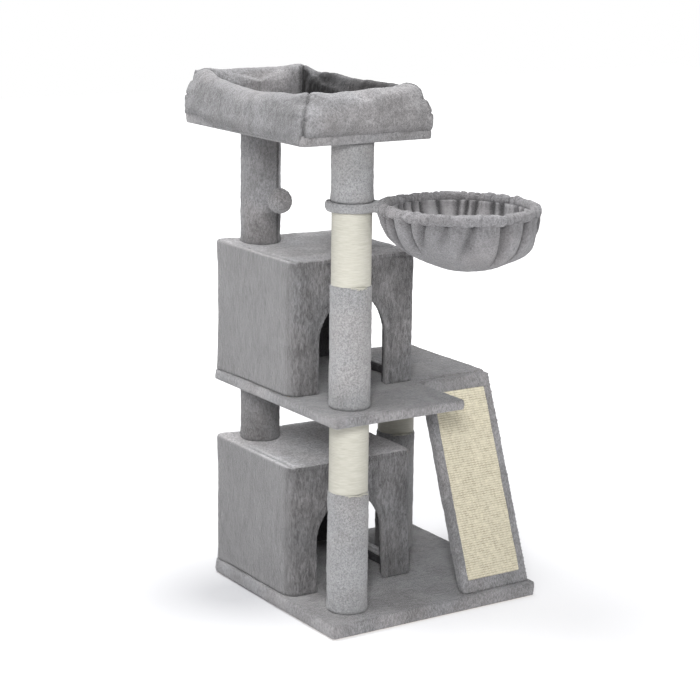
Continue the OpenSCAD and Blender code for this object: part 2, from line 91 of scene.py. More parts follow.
world = bpy.data.worlds.new("studio")
world.use_nodes = True
sky = world.node_tree
sky.nodes["Background"].inputs["Color"].default_value = (0.98, 0.99, 1.0, 1)
sky.nodes["Background"].inputs["Strength"].default_value = 0.45
backdrop = sky.nodes.new("ShaderNodeBackground")
backdrop.inputs["Color"].default_value = (1.0, 1.0, 1.0, 1)
seen = sky.nodes.new("ShaderNodeLightPath")
either = sky.nodes.new("ShaderNodeMixShader")
sky.links.new(seen.outputs["Is Camera Ray"], either.inputs[0])
sky.links.new(sky.nodes["Background"].outputs[0], either.inputs[1])
sky.links.new(backdrop.outputs[0], either.inputs[2])
sky.links.new(either.outputs[0], sky.nodes["World Output"].inputs["Surface"])
SCENE.world = world
SCENE.view_settings.view_transform = "Standard"
SCENE.view_settings.look = "None"


# ---- noise on points ----


def _corner(cell, seed):
    """A hash of each whole-numbered cell, as a number from -1 to 1."""
    h = cell[:, 0] * 374761393 + cell[:, 1] * 668265263 + cell[:, 2] * 1442695041 + seed * 974634777
    h = h & 0xFFFFFFFF
    h = ((h ^ (h >> 13)) * 1274126177) & 0xFFFFFFFF
    return ((h ^ (h >> 16)) & 0xFFFF) / 32767.5 - 1.0


def noise(points, size, seed=0):
    """Smooth value noise from -1 to 1 at each point, with features of about that size."""
    q = points / np.asarray(size, float)
    cell = np.floor(q).astype(np.int64)
    f = q - cell
    f = f * f * f * (f * (f * 6 - 15) + 10)
    out = np.zeros(len(points))
    for dx in (0, 1):
        wx = f[:, 0] if dx else 1 - f[:, 0]
        for dy in (0, 1):
            wy = f[:, 1] if dy else 1 - f[:, 1]
            for dz in (0, 1):
                wz = f[:, 2] if dz else 1 - f[:, 2]
                out += wx * wy * wz * _corner(cell + (dx, dy, dz), seed)
    return out


def pile(points, seed, tuft=0.35, lump=0.5, stretch=(1, 1, 1)):
    """Height of short pile at each point, in metres: tufts and the lumps under them."""
    s = np.asarray(stretch, float)
    return MM * (
        tuft * noise(points, 0.0033 * s, seed)
        + 0.8 * tuft * noise(points, 0.007 * s, seed + 1)
        + lump * noise(points, 0.018 * s, seed + 2)
        + lump * noise(points, 0.055, seed + 3)
    )


def step(x, lo, hi):
    """0 below lo, 1 above hi, smooth between."""
    t = np.clip((x - lo) / (hi - lo), 0, 1)
    return t * t * (3 - 2 * t)


def bump(x, centre, width):
    return np.exp(-(((x - centre) / width) ** 2))


def from_axis(co, x, y):
    """Distance of each point from the upright line through (x, y)."""
    return np.hypot(co[:, 0] - x, co[:, 1] - y)


def circle(sides):
    """The angles of that many points round a full turn."""
    return np.arange(sides) * 2 * math.pi / sides


# ---- meshes ----


def make_object(name, mesh):
    obj = bpy.data.objects.new(name, mesh)
    SCENE.collection.objects.link(obj)
    return obj


def mesh_from(name, verts, faces):
    mesh = bpy.data.meshes.new(name)
    mesh.from_pydata(np.asarray(verts, float).tolist(), [], [list(map(int, f)) for f in faces])
    mesh.update()
    return mesh


def get_points(mesh):
    co = np.empty(len(mesh.vertices) * 3)
    mesh.vertices.foreach_get("co", co)
    return co.reshape(-1, 3)


def get_normals(mesh):
    no = np.empty(len(mesh.vertices) * 3)
    mesh.vertex_normals.foreach_get("vector", no)
    return no.reshape(-1, 3)


def set_points(mesh, co):
    mesh.vertices.foreach_set("co", np.ascontiguousarray(co, float).ravel())
    mesh.update()


def grid_quads(rows, cols, wrap_rows=False, wrap_cols=False):
    """Quads of a grid whose vertex (row, col) has number row * cols + col."""
    r = np.arange(rows if wrap_rows else rows - 1)
    c = np.arange(cols if wrap_cols else cols - 1)
    a, b = np.meshgrid(r, c, indexing="ij")
    a2, b2 = (a + 1) % rows, (b + 1) % cols
    quads = np.stack([a * cols + b, a * cols + b2, a2 * cols + b2, a2 * cols + b], -1)
    return [tuple(q) for q in quads.reshape(-1, 4).tolist()]


def upright_x(p):
    """Takes a prism's points, (x, z, depth), to where its depth runs along Y."""
    return p[:, [0, 2, 1]]


def upright_y(p):
    """Takes a prism's points, (y, z, depth), to where its depth runs along X."""
    return p[:, [2, 0, 1]]


def prism(outline, z0, z1, place=lambda p: p):
    """Closed solid over a 2-D outline, as (verts, faces). place maps its points."""
    n = len(outline)
    low = [(x, y, z0) for x, y in outline]
    high = [(x, y, z1) for x, y in outline]
    sides = [(i, (i + 1) % n, n + (i + 1) % n, n + i) for i in range(n)]
    faces = [tuple(reversed(range(n))), tuple(range(n, 2 * n))] + sides
    return place(np.array(low + high, float)), faces


def rounded(points, radius, steps=6):
    """Outline with each corner rounded; a corner is (x, y) or (x, y, its own radius)."""
    out = []
    n = len(points)
    for i, p in enumerate(points):
        r = p[2] if len(p) > 2 else radius
        here = Vector(p[:2])
        a = (Vector(points[i - 1][:2]) - here).normalized()
        b = (Vector(points[(i + 1) % n][:2]) - here).normalized()
        half = math.acos(max(-1, min(1, a.dot(b)))) / 2
        if r < 1e-6 or half > 1.5:
            out.append(tuple(here))
            continue
        reach = r / math.tan(half)
        centre = here + (a + b).normalized() * (r / math.sin(half))
        start, end = here + a * reach - centre, here + b * reach - centre
        turn = math.atan2(start.cross(end), start.dot(end))
        for k in range(steps + 1):
            t = turn * k / steps
            c, s = math.cos(t), math.sin(t)
            out.append(tuple(centre + Vector((start.x * c - start.y * s, start.x * s + start.y * c))))
    return out


def rect(x0, y0, x1, y1):
    return [(x0, y0), (x1, y0), (x1, y1), (x0, y1)]


def node_solid(*names):
    """The meshes of CAD nodes, joined and welded, as (verts, faces)."""
    verts, faces = [], []
    for n in names:
        mesh = frame["nodes"][n].data
        base = len(verts)
        verts += [tuple(v.co) for v in mesh.vertices]
        faces += [tuple(base + i for i in p.vertices) for p in mesh.polygons]
    return np.array(verts), faces


def tube(path, radius, sides=10, closed=False):
    """Closed pipe along points, as (verts, faces)."""
    path = np.asarray(path, float)
    n = len(path)
    ahead = np.roll(path, -1, 0) - np.roll(path, 1, 0)
    if not closed:
        ahead[0], ahead[-1] = path[1] - path[0], path[-1] - path[-2]
    ahead /= np.linalg.norm(ahead, axis=1)[:, None]
    ref = np.array((0, 0, 1.0)) if abs(ahead[:, 2]).mean() < 0.7 else np.array((0, 1.0, 0))
    if abs(ahead @ ref).max() > 0.99:
        ref = np.array((0.9, 0.3, 0.2))
    side = np.cross(ahead, ref)
    side /= np.linalg.norm(side, axis=1)[:, None]
    up = np.cross(side, ahead)
    radii = np.broadcast_to(radius, n)
    a = circle(sides)
    verts = path[:, None] + radii[:, None, None] * (
        np.cos(a)[None, :, None] * side[:, None] + np.sin(a)[None, :, None] * up[:, None]
    )
    faces = grid_quads(n, sides, wrap_rows=closed, wrap_cols=True)
    if not closed:
        faces.append(tuple(range(sides - 1, -1, -1)))
        faces.append(tuple((n - 1) * sides + k for k in range(sides)))
    return verts.reshape(-1, 3), faces


@contextlib.contextmanager
def editing(mesh):
    """A bmesh of the mesh, which is written back at the end."""
    bm = bmesh.new()
    bm.from_mesh(mesh)
    yield bm
    bm.to_mesh(mesh)
    bm.free()


def face_outward(obj):
    with editing(obj.data) as bm:
        bmesh.ops.recalc_face_normals(bm, faces=bm.faces)


def biggest_part(mesh):
    """Removes every loose part but the biggest."""
    n = len(mesh.vertices)
    edges = np.empty(len(mesh.edges) * 2, np.int64)
    mesh.edges.foreach_get("vertices", edges)
    edges = edges.reshape(-1, 2)
    label = np.arange(n)
    while True:
        low = np.minimum(label[edges[:, 0]], label[edges[:, 1]])
        new = label.copy()
        np.minimum.at(new, edges[:, 0], low)
        np.minimum.at(new, edges[:, 1], low)
        new = new[new]
        if (new == label).all():
            break
        label = new
    names, counts = np.unique(label, return_counts=True)
    if len(names) == 1:
        return
    keep = names[counts.argmax()]
    with editing(mesh) as bm:
        gone = [v for v, k in zip(bm.verts, label) if k != keep]
        bmesh.ops.delete(bm, geom=gone, context="VERTS")


def baked(obj):
    """Applies the object's modifiers to its mesh."""
    bpy.context.view_layer.update()
    graph = bpy.context.evaluated_depsgraph_get()
    mesh = bpy.data.meshes.new_from_object(obj.evaluated_get(graph))
    obj.modifiers.clear()
    old, obj.data = obj.data, mesh
    bpy.data.meshes.remove(old)


def soften(name, solids, voxel, smooth):
    """One closed skin over overlapping solids, its edges rounded by smoothing."""
    verts, faces, base = [], [], 0
    for v, f in solids:
        verts.append(np.asarray(v))
        faces += [tuple(base + i for i in q) for q in f]
        base += len(v)
    mesh = mesh_from(name, np.concatenate(verts), faces)
    with editing(mesh) as bm:
        bmesh.ops.remove_doubles(bm, verts=bm.verts, dist=1e-6)
    obj = make_object(name, mesh)
    m = obj.modifiers.new("skin", "REMESH")
    m.mode, m.voxel_size, m.adaptivity = "VOXEL", voxel, 0
    m = obj.modifiers.new("soft", "SMOOTH")
    m.factor, m.iterations = 0.5, smooth
    baked(obj)
    biggest_part(obj.data)
    return obj


def relief(obj, field):
    """Moves each point along its normal by field(points, normals)."""
    mesh = obj.data
    co, no = get_points(mesh), get_normals(mesh)
    set_points(mesh, co + no * field(co, no)[:, None])


def paint_shading(obj, field):
    """Stores painted shade at each point: 1 in a crease or seam, -1 painted highlight on the crown between
    two.
    """
    co, no = get_points(obj.data), get_normals(obj.data)
    values = obj.data.attributes.new("crease", "FLOAT", "POINT")
    values.data.foreach_set("value", np.clip(field(co, no), -1, 1))


def finish_piece(obj, node, material="plush", body="tree"):
    for p in obj.data.polygons if obj.type == "MESH" else ():
        p.use_smooth = True
    obj.data.materials.clear()
    obj.data.materials.append(MATS[material])
    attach(obj, body)
    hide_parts(node)
    return obj


# ---- materials ----


def shade(colour, k):
    return tuple(k * c for c in colour)


class Nodes:
    """Short calls for building one material's node tree."""

    def __init__(self, name):
        self.mat = bpy.data.materials.new(name)
        self.mat.use_nodes = True
        self.tree = self.mat.node_tree
        self.shader = self.tree.nodes["Principled BSDF"]
        self.coord = self.make("TexCoord", {}).outputs["Object"]

    def make(self, kind, inputs, **attributes):
        """A new node. An input is linked where a socket is given, and set to any other value."""
        node = self.tree.nodes.new("ShaderNode" + kind)
        for name, value in attributes.items():
            setattr(node, name, value)
        for key, value in inputs.items():
            if isinstance(value, bpy.types.NodeSocket):
                self.tree.links.new(value, node.inputs[key])
            elif value is not None:
                node.inputs[key].default_value = value
        return node

    def scaled(self, scale, turn=(0, 0, 0)):
        inputs = {"Scale": scale, "Rotation": turn, "Vector": self.coord}
        return self.make("Mapping", inputs).outputs["Vector"]

    def noise(self, scale, detail=3, rough=0.55, vector=None, distortion=0):
        inputs = {"Scale": scale, "Detail": detail, "Roughness": rough, "Distortion": distortion}
        return self.make("TexNoise", {**inputs, "Vector": vector or self.coord}).outputs["Fac"]

    def ramp(self, fac, lo, hi, a, b):
        r = self.make("ValToRGB", {"Fac": fac})
        r.color_ramp.elements[0].position, r.color_ramp.elements[0].color = lo, (*a, 1)
        r.color_ramp.elements[1].position, r.color_ramp.elements[1].color = hi, (*b, 1)
        return r.outputs["Color"]

    def mix(self, fac, a, b, kind="MIX"):
        a, b = ((*value, 1) if isinstance(value, tuple) else value for value in (a, b))
        return self.make("Mix", {0: fac, 6: a, 7: b}, data_type="RGBA", blend_type=kind).outputs[2]

    def math(self, kind, a, b):
        return self.make("Math", {0: a, 1: b}, operation=kind).outputs[0]

    def vectors(self, kind, a, b=None):
        """The node of a vector sum, product, length or distance."""
        return self.make("VectorMath", {0: a, 1: b}, operation=kind)

    def bumps(self, layers):
        """layers are (height socket, strength, distance in metres)."""
        normal = None
        for height, strength, distance in layers:
            inputs = {"Strength": strength, "Distance": distance, "Height": height, "Normal": normal}
            normal = self.make("Bump", inputs).outputs["Normal"]
        self.tree.links.new(normal, self.shader.inputs["Normal"])

    def colour(self, socket):
        self.tree.links.new(socket, self.shader.inputs["Base Color"])

    def set(self, **values):
        for name, value in values.items():
            self.shader.inputs[name.replace("_", " ")].default_value = value


def plush_material(name, light, dark, seed=0.0, brushed=0.3, sheen=0.45, contrast=1.0, painted_light_by_facing=(), calm=0.0):
    """Short brushed pile: patches, brush strokes and tufts.

    Each (direction, tone) pair paints light and shade: faces toward the direction are painted that much
    darker or lighter than the rest. calm evens out the faces toward X.
    """
    n = Nodes(name)
    n.coord = n.vectors("ADD", n.coord, (seed, seed * 1.7, seed * 0.6)).outputs[0]
    mid = tuple(0.5 * (a + b) for a, b in zip(light, dark))
    patches = n.noise(10, 4, 0.6, distortion=0.8)
    base = n.ramp(patches, 0.4, 0.62, dark, light)
    tint = n.ramp(n.noise(7, 2), 0.42, 0.58, (1.0, 0.975, 0.975), (0.972, 0.98, 1.0))
    base = n.mix(1.0, base, tint, "MULTIPLY")

    # brush strokes run up the sides, and across where the face lies flat
    drawn_out = n.scaled((1, 1, 1 - 1.6 * brushed))
    strokes = n.noise(105, 3, 0.62, drawn_out, distortion=0.4)
    across = n.noise(110, 3, 0.62, n.scaled((0.4, 1, 1), (0, 0, 0.5)), distortion=0.6)
    normal = n.make("NewGeometry", {}).outputs["Normal"]
    split = n.make("SeparateXYZ", {0: normal})
    up = n.math("MULTIPLY", split.outputs["Z"], split.outputs["Z"])
    nap = n.mix(up, strokes, across)
    base = n.mix(0.24 * contrast, base, n.ramp(nap, 0.36, 0.64, dark, light))
    tufts = n.noise(300, 2, 0.75, drawn_out, distortion=0.7)
    lo, hi = 1 - 0.28 * contrast, 1 + 0.25 * contrast
    base = n.mix(1.0, base, n.ramp(tufts, 0.38, 0.62, (lo,) * 3, (hi,) * 3), "MULTIPLY")

    side = n.math("MULTIPLY", split.outputs["X"], split.outputs["X"])
    base = n.mix(n.math("MULTIPLY", side, calm), base, mid)
    # painted light and shade: faces toward each direction are painted lighter or darker by its tone
    for way, tone in painted_light_by_facing:
        facing = n.math("MAXIMUM", n.vectors("DOT_PRODUCT", normal, way).outputs["Value"], 0.0)
        facing = n.math("MULTIPLY", facing, facing)
        both = n.math("ADD", nap, n.math("MULTIPLY", patches, 0.8))
        painted_tone = n.ramp(both, 0.8, 1.0, (tone - 0.06,) * 3, (tone + 0.05,) * 3)
        base = n.mix(facing, base, n.mix(1.0, base, painted_tone, "MULTIPLY"))

    # painted shade darkens the creases and seams, and painted highlight lightens the crowns between them
    crease = n.make("Attribute", {}, attribute_name="crease").outputs["Fac"]
    for amount, colour in ((-0.5, shade(light, 2.8)), (0.78, shade(dark, 0.25))):
        base = n.mix(n.math("MAXIMUM", n.math("MULTIPLY", crease, amount), 0.0), base, colour)
    n.colour(base)
    fibres = n.noise(1300, 2, 0.7, n.scaled((1, 1, 1 - 0.8 * brushed)))
    n.bumps([(nap, 0.55, 0.0034 * contrast), (tufts, 0.9, 0.0026 * contrast), (fibres, 0.7, 0.0018)])
    n.set(Roughness=0.95, Specular_IOR_Level=0.08, Sheen_Weight=sheen, Sheen_Roughness=0.45)
    n.set(Sheen_Tint=(0.95, 0.95, 0.97, 1))
    return n.mat


def sisal_material(name, light, dark):
    n = Nodes(name)
    patch = n.ramp(n.noise(14, 3), 0.3, 0.7, shade(light, 0.93), light)
    fibre = n.noise(95, 3, 0.65, n.scaled((0.5, 0.5, 6)))
    n.colour(n.mix(0.6, patch, n.ramp(fibre, 0.28, 0.62, dark, light)))
    n.bumps([(fibre, 0.5, 0.0007), (n.noise(1800, 2, 0.7), 0.4, 0.0003)])
    n.set(Roughness=0.8, Specular_IOR_Level=0.25, Sheen_Weight=0.08)
    return n.mat


def mat_material(name, light, dark):
    """Sisal weave: ribs across the ramp, with dark gaps where the cords cross between them."""
    n = Nodes(name)
    weave = {
        "Vector": n.scaled((1, 1, 1), (RAMP_TILT - math.pi / 2, 0, 0)),
        "Scale": 1.0, "Brick Width": MAT_CORD, "Row Height": MAT_RIB,
        "Mortar Size": 0.00048, "Mortar Smooth": 0.6,
        "Color1": (*light, 1), "Color2": (*shade(light, 0.86), 1), "Mortar": (*dark, 1),
    }
    brick = n.make("TexBrick", weave, offset=0.5, squash=1.0)
    where = n.ramp(n.noise(90, 2, 0.6), 0.35, 0.65, (0.35,) * 3, (1.0,) * 3)
    fibre = n.noise(300, 3, 0.65, n.scaled((0.18, 1, 1)))
    base = n.mix(0.6, light, n.ramp(fibre, 0.36, 0.64, shade(light, 0.7), shade(light, 1.12)))
    base = n.mix(where, base, brick.outputs["Color"])
    patch = n.ramp(n.noise(12, 3), 0.4, 0.6, shade(light, 0.88), light)
    n.colour(n.mix(0.35, base, patch, "MULTIPLY"))
    n.bumps([(fibre, 0.6, 0.0008), (n.noise(1700, 2, 0.7), 0.4, 0.0003)])
    n.set(Roughness=0.85, Specular_IOR_Level=0.2, Sheen_Weight=0.05)
    return n.mat


def simple_material(name, light, dark, scale, stretch=(1, 1, 1), rough=0.7, metal=0.0, bump=0.3):
    n = Nodes(name)
    grain = n.noise(scale, 4, 0.6, n.scaled(stretch))
    n.colour(n.ramp(grain, 0.3, 0.7, dark, light))
    n.bumps([(grain, bump, 0.0005)])
    n.set(Roughness=rough, Metallic=metal)
    return n.mat


# how far back the ramp's face goes for each metre up, and the woven mat's rib and cord spacings
RAMP_RUN, MAT_RIB, MAT_CORD = 0.3833, 0.0047, 0.0036
RAMP_TILT = math.atan(RAMP_RUN)
PLUSH_LIGHT, PLUSH_DARK = (0.276, 0.272, 0.277), (0.186, 0.182, 0.183)
TOP, FRONT, LEFT, UP_LEFT = (0, 0, 1), (0, -1, 0), (-1, 0, 0), (-0.7, 0, 0.7)
# each plush: its light and dark colour, and what plush_material takes after them
PLUSHES = {
    # painted shade: tops a little darker
    "plush": (PLUSH_LIGHT, PLUSH_DARK, dict(painted_light_by_facing=[(TOP, 0.84)])),
    # painted shade: a darker copy of the plush for the rear lower post under the platform
    "shaded_rear_plush": ((0.205, 0.201, 0.203), (0.150, 0.147, 0.147), dict(seed=2.0)),
    # painted light: a lighter copy of the plush for the posts and the collar
    "lit_post_plush": ((0.335, 0.334, 0.337), (0.265, 0.263, 0.263), dict(seed=2.0, brushed=0.0)),
    # painted shade on the fronts and left sides, painted light on the tops
    "house_plush": (PLUSH_LIGHT, PLUSH_DARK, dict(
        seed=1.0, brushed=0.45, contrast=1.4, calm=0.9, painted_light_by_facing=[(FRONT, 0.68), (TOP, 2.4), (LEFT, 0.73)])),
    # painted shade on the left sides
    "padded_plush": (PLUSH_LIGHT, PLUSH_DARK, dict(
        seed=3.0, brushed=0.15, painted_light_by_facing=[(FRONT, 1.0), (LEFT, 0.52)])),
    # painted shade on faces toward -X, the right rim's inner face
    "rim_right": (PLUSH_LIGHT, PLUSH_DARK, dict(
        seed=3.0, brushed=0.15, sheen=0.0, painted_light_by_facing=[(UP_LEFT, 0.5), (LEFT, 0.2)])),
    "hammock_plush": ((0.245, 0.239, 0.245), (0.180, 0.176, 0.180), dict(seed=5.0, brushed=0.0)),
    "basket_plush": ((0.225, 0.220, 0.225), (0.165, 0.161, 0.165), dict(seed=5.0, brushed=0.0)),
    # the lining's own dark colour, made darker still by painted shade for the inside of the houses
    "plush_lining": ((0.115, 0.112, 0.118), (0.07, 0.068, 0.072), dict(seed=7.0, brushed=0.1, sheen=0.05)),
    "ball_plush": ((0.24, 0.234, 0.236), (0.145, 0.141, 0.142), dict(seed=9.0, brushed=0.0, contrast=1.5)),
}
# each plain finish: its light and dark colour, and what simple_material takes after them
FINISHES = {
    "board": ((0.55, 0.42, 0.27), (0.40, 0.29, 0.17), dict(scale=160, rough=0.8)),
    "cardboard": ((0.46, 0.33, 0.2), (0.33, 0.23, 0.13), dict(scale=120, stretch=(1, 1, 5), rough=0.85)),
    "steel": ((0.62, 0.63, 0.65), (0.5, 0.5, 0.52), dict(scale=300, rough=0.32, metal=1.0, bump=0.1)),
    "plug_plastic": ((0.05, 0.05, 0.055), (0.03, 0.03, 0.033), dict(scale=500, rough=0.45, bump=0.15)),
    "backing_felt": ((0.05, 0.05, 0.055), (0.02, 0.02, 0.022), dict(scale=700, rough=0.95, bump=0.6)),
    "string": ((0.28, 0.28, 0.29), (0.15, 0.15, 0.16), dict(
        scale=900, stretch=(1, 1, 3), rough=0.85, bump=0.5)),
}
MATS = {name: plush_material(name, light, dark, **rest) for name, (light, dark, rest) in PLUSHES.items()}
MATS["sisal_wrap"] = sisal_material("sisal_wrap", (0.495, 0.483, 0.428), (0.35, 0.335, 0.28))
MATS["sisal_mat"] = mat_material("sisal_mat", (0.73, 0.69, 0.565), (0.17, 0.13, 0.08))
for name, (light, dark, rest) in FINISHES.items():
    MATS[name] = simple_material(name, light, dark, **rest)
node_slots = {}
for row in frame["record"].get("subparts", []):
    if row.get("material_slot"):
        node_slots[row.get("node", row.get("name"))] = row["material_slot"]
for name, obj in frame["nodes"].items():
    obj.data.materials.clear()
    obj.data.materials.append(MATS.get(node_slots.get(name), MATS["board"]))


# ---- floor ----


def make_floor(half=9):
    """Plain pale floor that glows to white away from the object, with a painted shadow on its left, where
    its glow is less.
    """
    corners = [(x * half, y * half, 0) for x, y in ((-1, -1), (1, -1), (1, 1), (-1, 1))]
    floor = make_object("floor", mesh_from("floor", corners, [(0, 1, 2, 3)]))
    n = Nodes("floor")
    n.colour(n.ramp(n.noise(1.5, 2), 0.3, 0.7, (0.47, 0.47, 0.475), (0.5, 0.5, 0.505)))
    n.set(Roughness=0.9, Specular_IOR_Level=0.0, Emission_Strength=1.0)
    away = n.math("MULTIPLY", n.vectors("LENGTH", n.coord).outputs["Value"], 0.25)
    glow = n.ramp(away, 0.14, 0.55, (0.50, 0.50, 0.51), (1.05, 1.05, 1.05))
    # painted shadow: the glow is dimmed beside the base's left side
    beside = n.vectors("DISTANCE", n.coord, (-0.28, 0.10, 0)).outputs["Value"]
    painted_shadow = n.ramp(beside, 0.04, 0.32, (0.06, 0.065, 0.09), (1.0, 1.0, 1.0))
    n.tree.links.new(n.mix(1.0, glow, painted_shadow, "MULTIPLY"), n.shader.inputs["Emission Color"])
    floor.data.materials.append(n.mat)
    floor.location.z = -0.0004


make_floor()


# ---- sizes taken from the frame ----

BASE_LO, BASE_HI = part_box("base_cover")
HOUSES = {"lower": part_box("lower_house_cover"), "upper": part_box("upper_house_cover")}
PLAT_LO, PLAT_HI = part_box("platform_cover")
PERCH_LO, PERCH_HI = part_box("perch_cover")
RIM_LO, RIM_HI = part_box("perch_bolster_front")
FRONT_POST = (-0.168, -0.160)
REAR_POST = (-0.168, 0.176)
SIDE_POST = (0.125, 0.108)
WALL = 0.016


# ---- slabs ----


def slab(which, outline, z0, z1, voxel, seed, corner_folds):
    """Plush-covered board. corner_folds are (x, y, reach) of the corners where the plush is folded."""
    obj = soften(f"{which}_plush", [prism(outline, z0, z1)], voxel, 3)

    def field(co, no):
        side = 1 - np.abs(no[:, 2])
        h = pile(co, seed, 0.3, 0.35)
        z = co[:, 2]
        # plush pulled over the board's edge stands a little proud there
        mid = bump(z, (z0 + z1) / 2, (z1 - z0) * 0.45)
        h += side * (0.0012 * mid - 0.0004)
        for x, y, reach in corner_folds:
            near = bump(from_axis(co, x, y), 0, reach)
            h += 0.0020 * side * near * noise(co, (0.012, 0.012, 0.03), seed + 9)
        h += 0.0009 * side * noise(co, (0.04, 0.04, 0.012), seed + 12)
        # the underside is pressed flat
        h[(z < z0 + 0.004) & (no[:, 2] < -0.6)] *= 0.25
        return h

    relief(obj, field)
    finish_piece(obj, f"{which}_cover")


def board_outline(lo, hi, radius):
    return rounded(rect(lo.x, lo.y, hi.x, hi.y), radius)


def three_corners(lo, hi, reach):
    """The corners that show from the front: all but the back right one."""
    return [(hi.x, lo.y, reach), (lo.x, lo.y, reach), (lo.x, hi.y, reach)]


# the platform is an L: the step stands to the right of L_X, behind STEP_Y
L_X, STEP_Y = 0.055, -0.050
platform_outline = rounded(
    [
        (PLAT_LO.x, PLAT_LO.y), (L_X, PLAT_LO.y), (L_X, STEP_Y, 0.004),
        (PLAT_HI.x, STEP_Y, 0.006), (PLAT_HI.x, PLAT_HI.y), (PLAT_LO.x, PLAT_HI.y),
    ],
    0.009,
)
slab("base", board_outline(BASE_LO, BASE_HI, 0.009), 0.0022, BASE_HI.z, 0.003, 11,
     three_corners(BASE_LO, BASE_HI, 0.03))
slab("platform", platform_outline, PLAT_LO.z, PLAT_HI.z, 0.0028, 23,
     [(PLAT_LO.x, PLAT_LO.y, 0.03), (L_X, PLAT_LO.y, 0.03)])
slab("perch", board_outline(PERCH_LO, PERCH_HI, 0.010), PERCH_LO.z, PERCH_HI.z, 0.0027, 31,
     three_corners(PERCH_LO, PERCH_HI, 0.05))


# ---- houses ----

# a doorway's half width, the height of its straight sides and of its arch, and the side doorway's sill
ARCH_HALF, ARCH_STRAIGHT, ARCH_RISE, SILL = 0.082, 0.100, 0.094, 0.017
DOOR_ROLL, DOOR_TRIM = 0.0042, 0.006  # radius and thickness of the plush turned round a doorway's edge
LINING = 0.0075


def arch_line(centre, floor_z, lean=0.0, steps=28):
    """Points along a doorway's edge from left to right. Its right foot stands lean further out."""
    pts = [(centre - ARCH_HALF, floor_z)]
    for i in range(steps + 1):
        a = math.pi - math.pi * i / steps
        pts.append((centre + ARCH_HALF * math.cos(a), floor_z + ARCH_STRAIGHT + ARCH_RISE * math.sin(a)))
    pts.append((centre + ARCH_HALF + lean, floor_z))
    return pts


def doorway_strip(line, grow, d0, d1, place):
    """Closed strip round a doorway's edge, grow thick, from depth d0 to d1."""
    line = np.asarray(line, float)
    ahead = np.gradient(line, axis=0)
    out = np.stack([-ahead[:, 1], ahead[:, 0]], -1)
    out /= np.linalg.norm(out, axis=1)[:, None]
    ring = []
    for edge, depth in ((line, d0), (line, d1), (line + grow * out, d1), (line + grow * out, d0)):
        ring.append(np.column_stack([edge, np.full(len(edge), depth)]))
    verts = np.stack(ring, 1).reshape(-1, 3)
    faces = grid_quads(len(line), 4, wrap_cols=True)
    last = 4 * (len(line) - 1)
    faces += [(3, 2, 1, 0), (last, last + 1, last + 2, last + 3)]
    return place(verts), faces


def wall_with_arch(lo, hi, z0, z1, centre, foot, lean=0.0):
    """Outline of a wall with a doorway that opens at its foot."""
    arch = arch_line(centre, foot, lean)
    return [(lo, z0), (arch[0][0], z0)] + arch + [(arch[-1][0], z0), (hi, z0), (hi, z1), (lo, z1)]


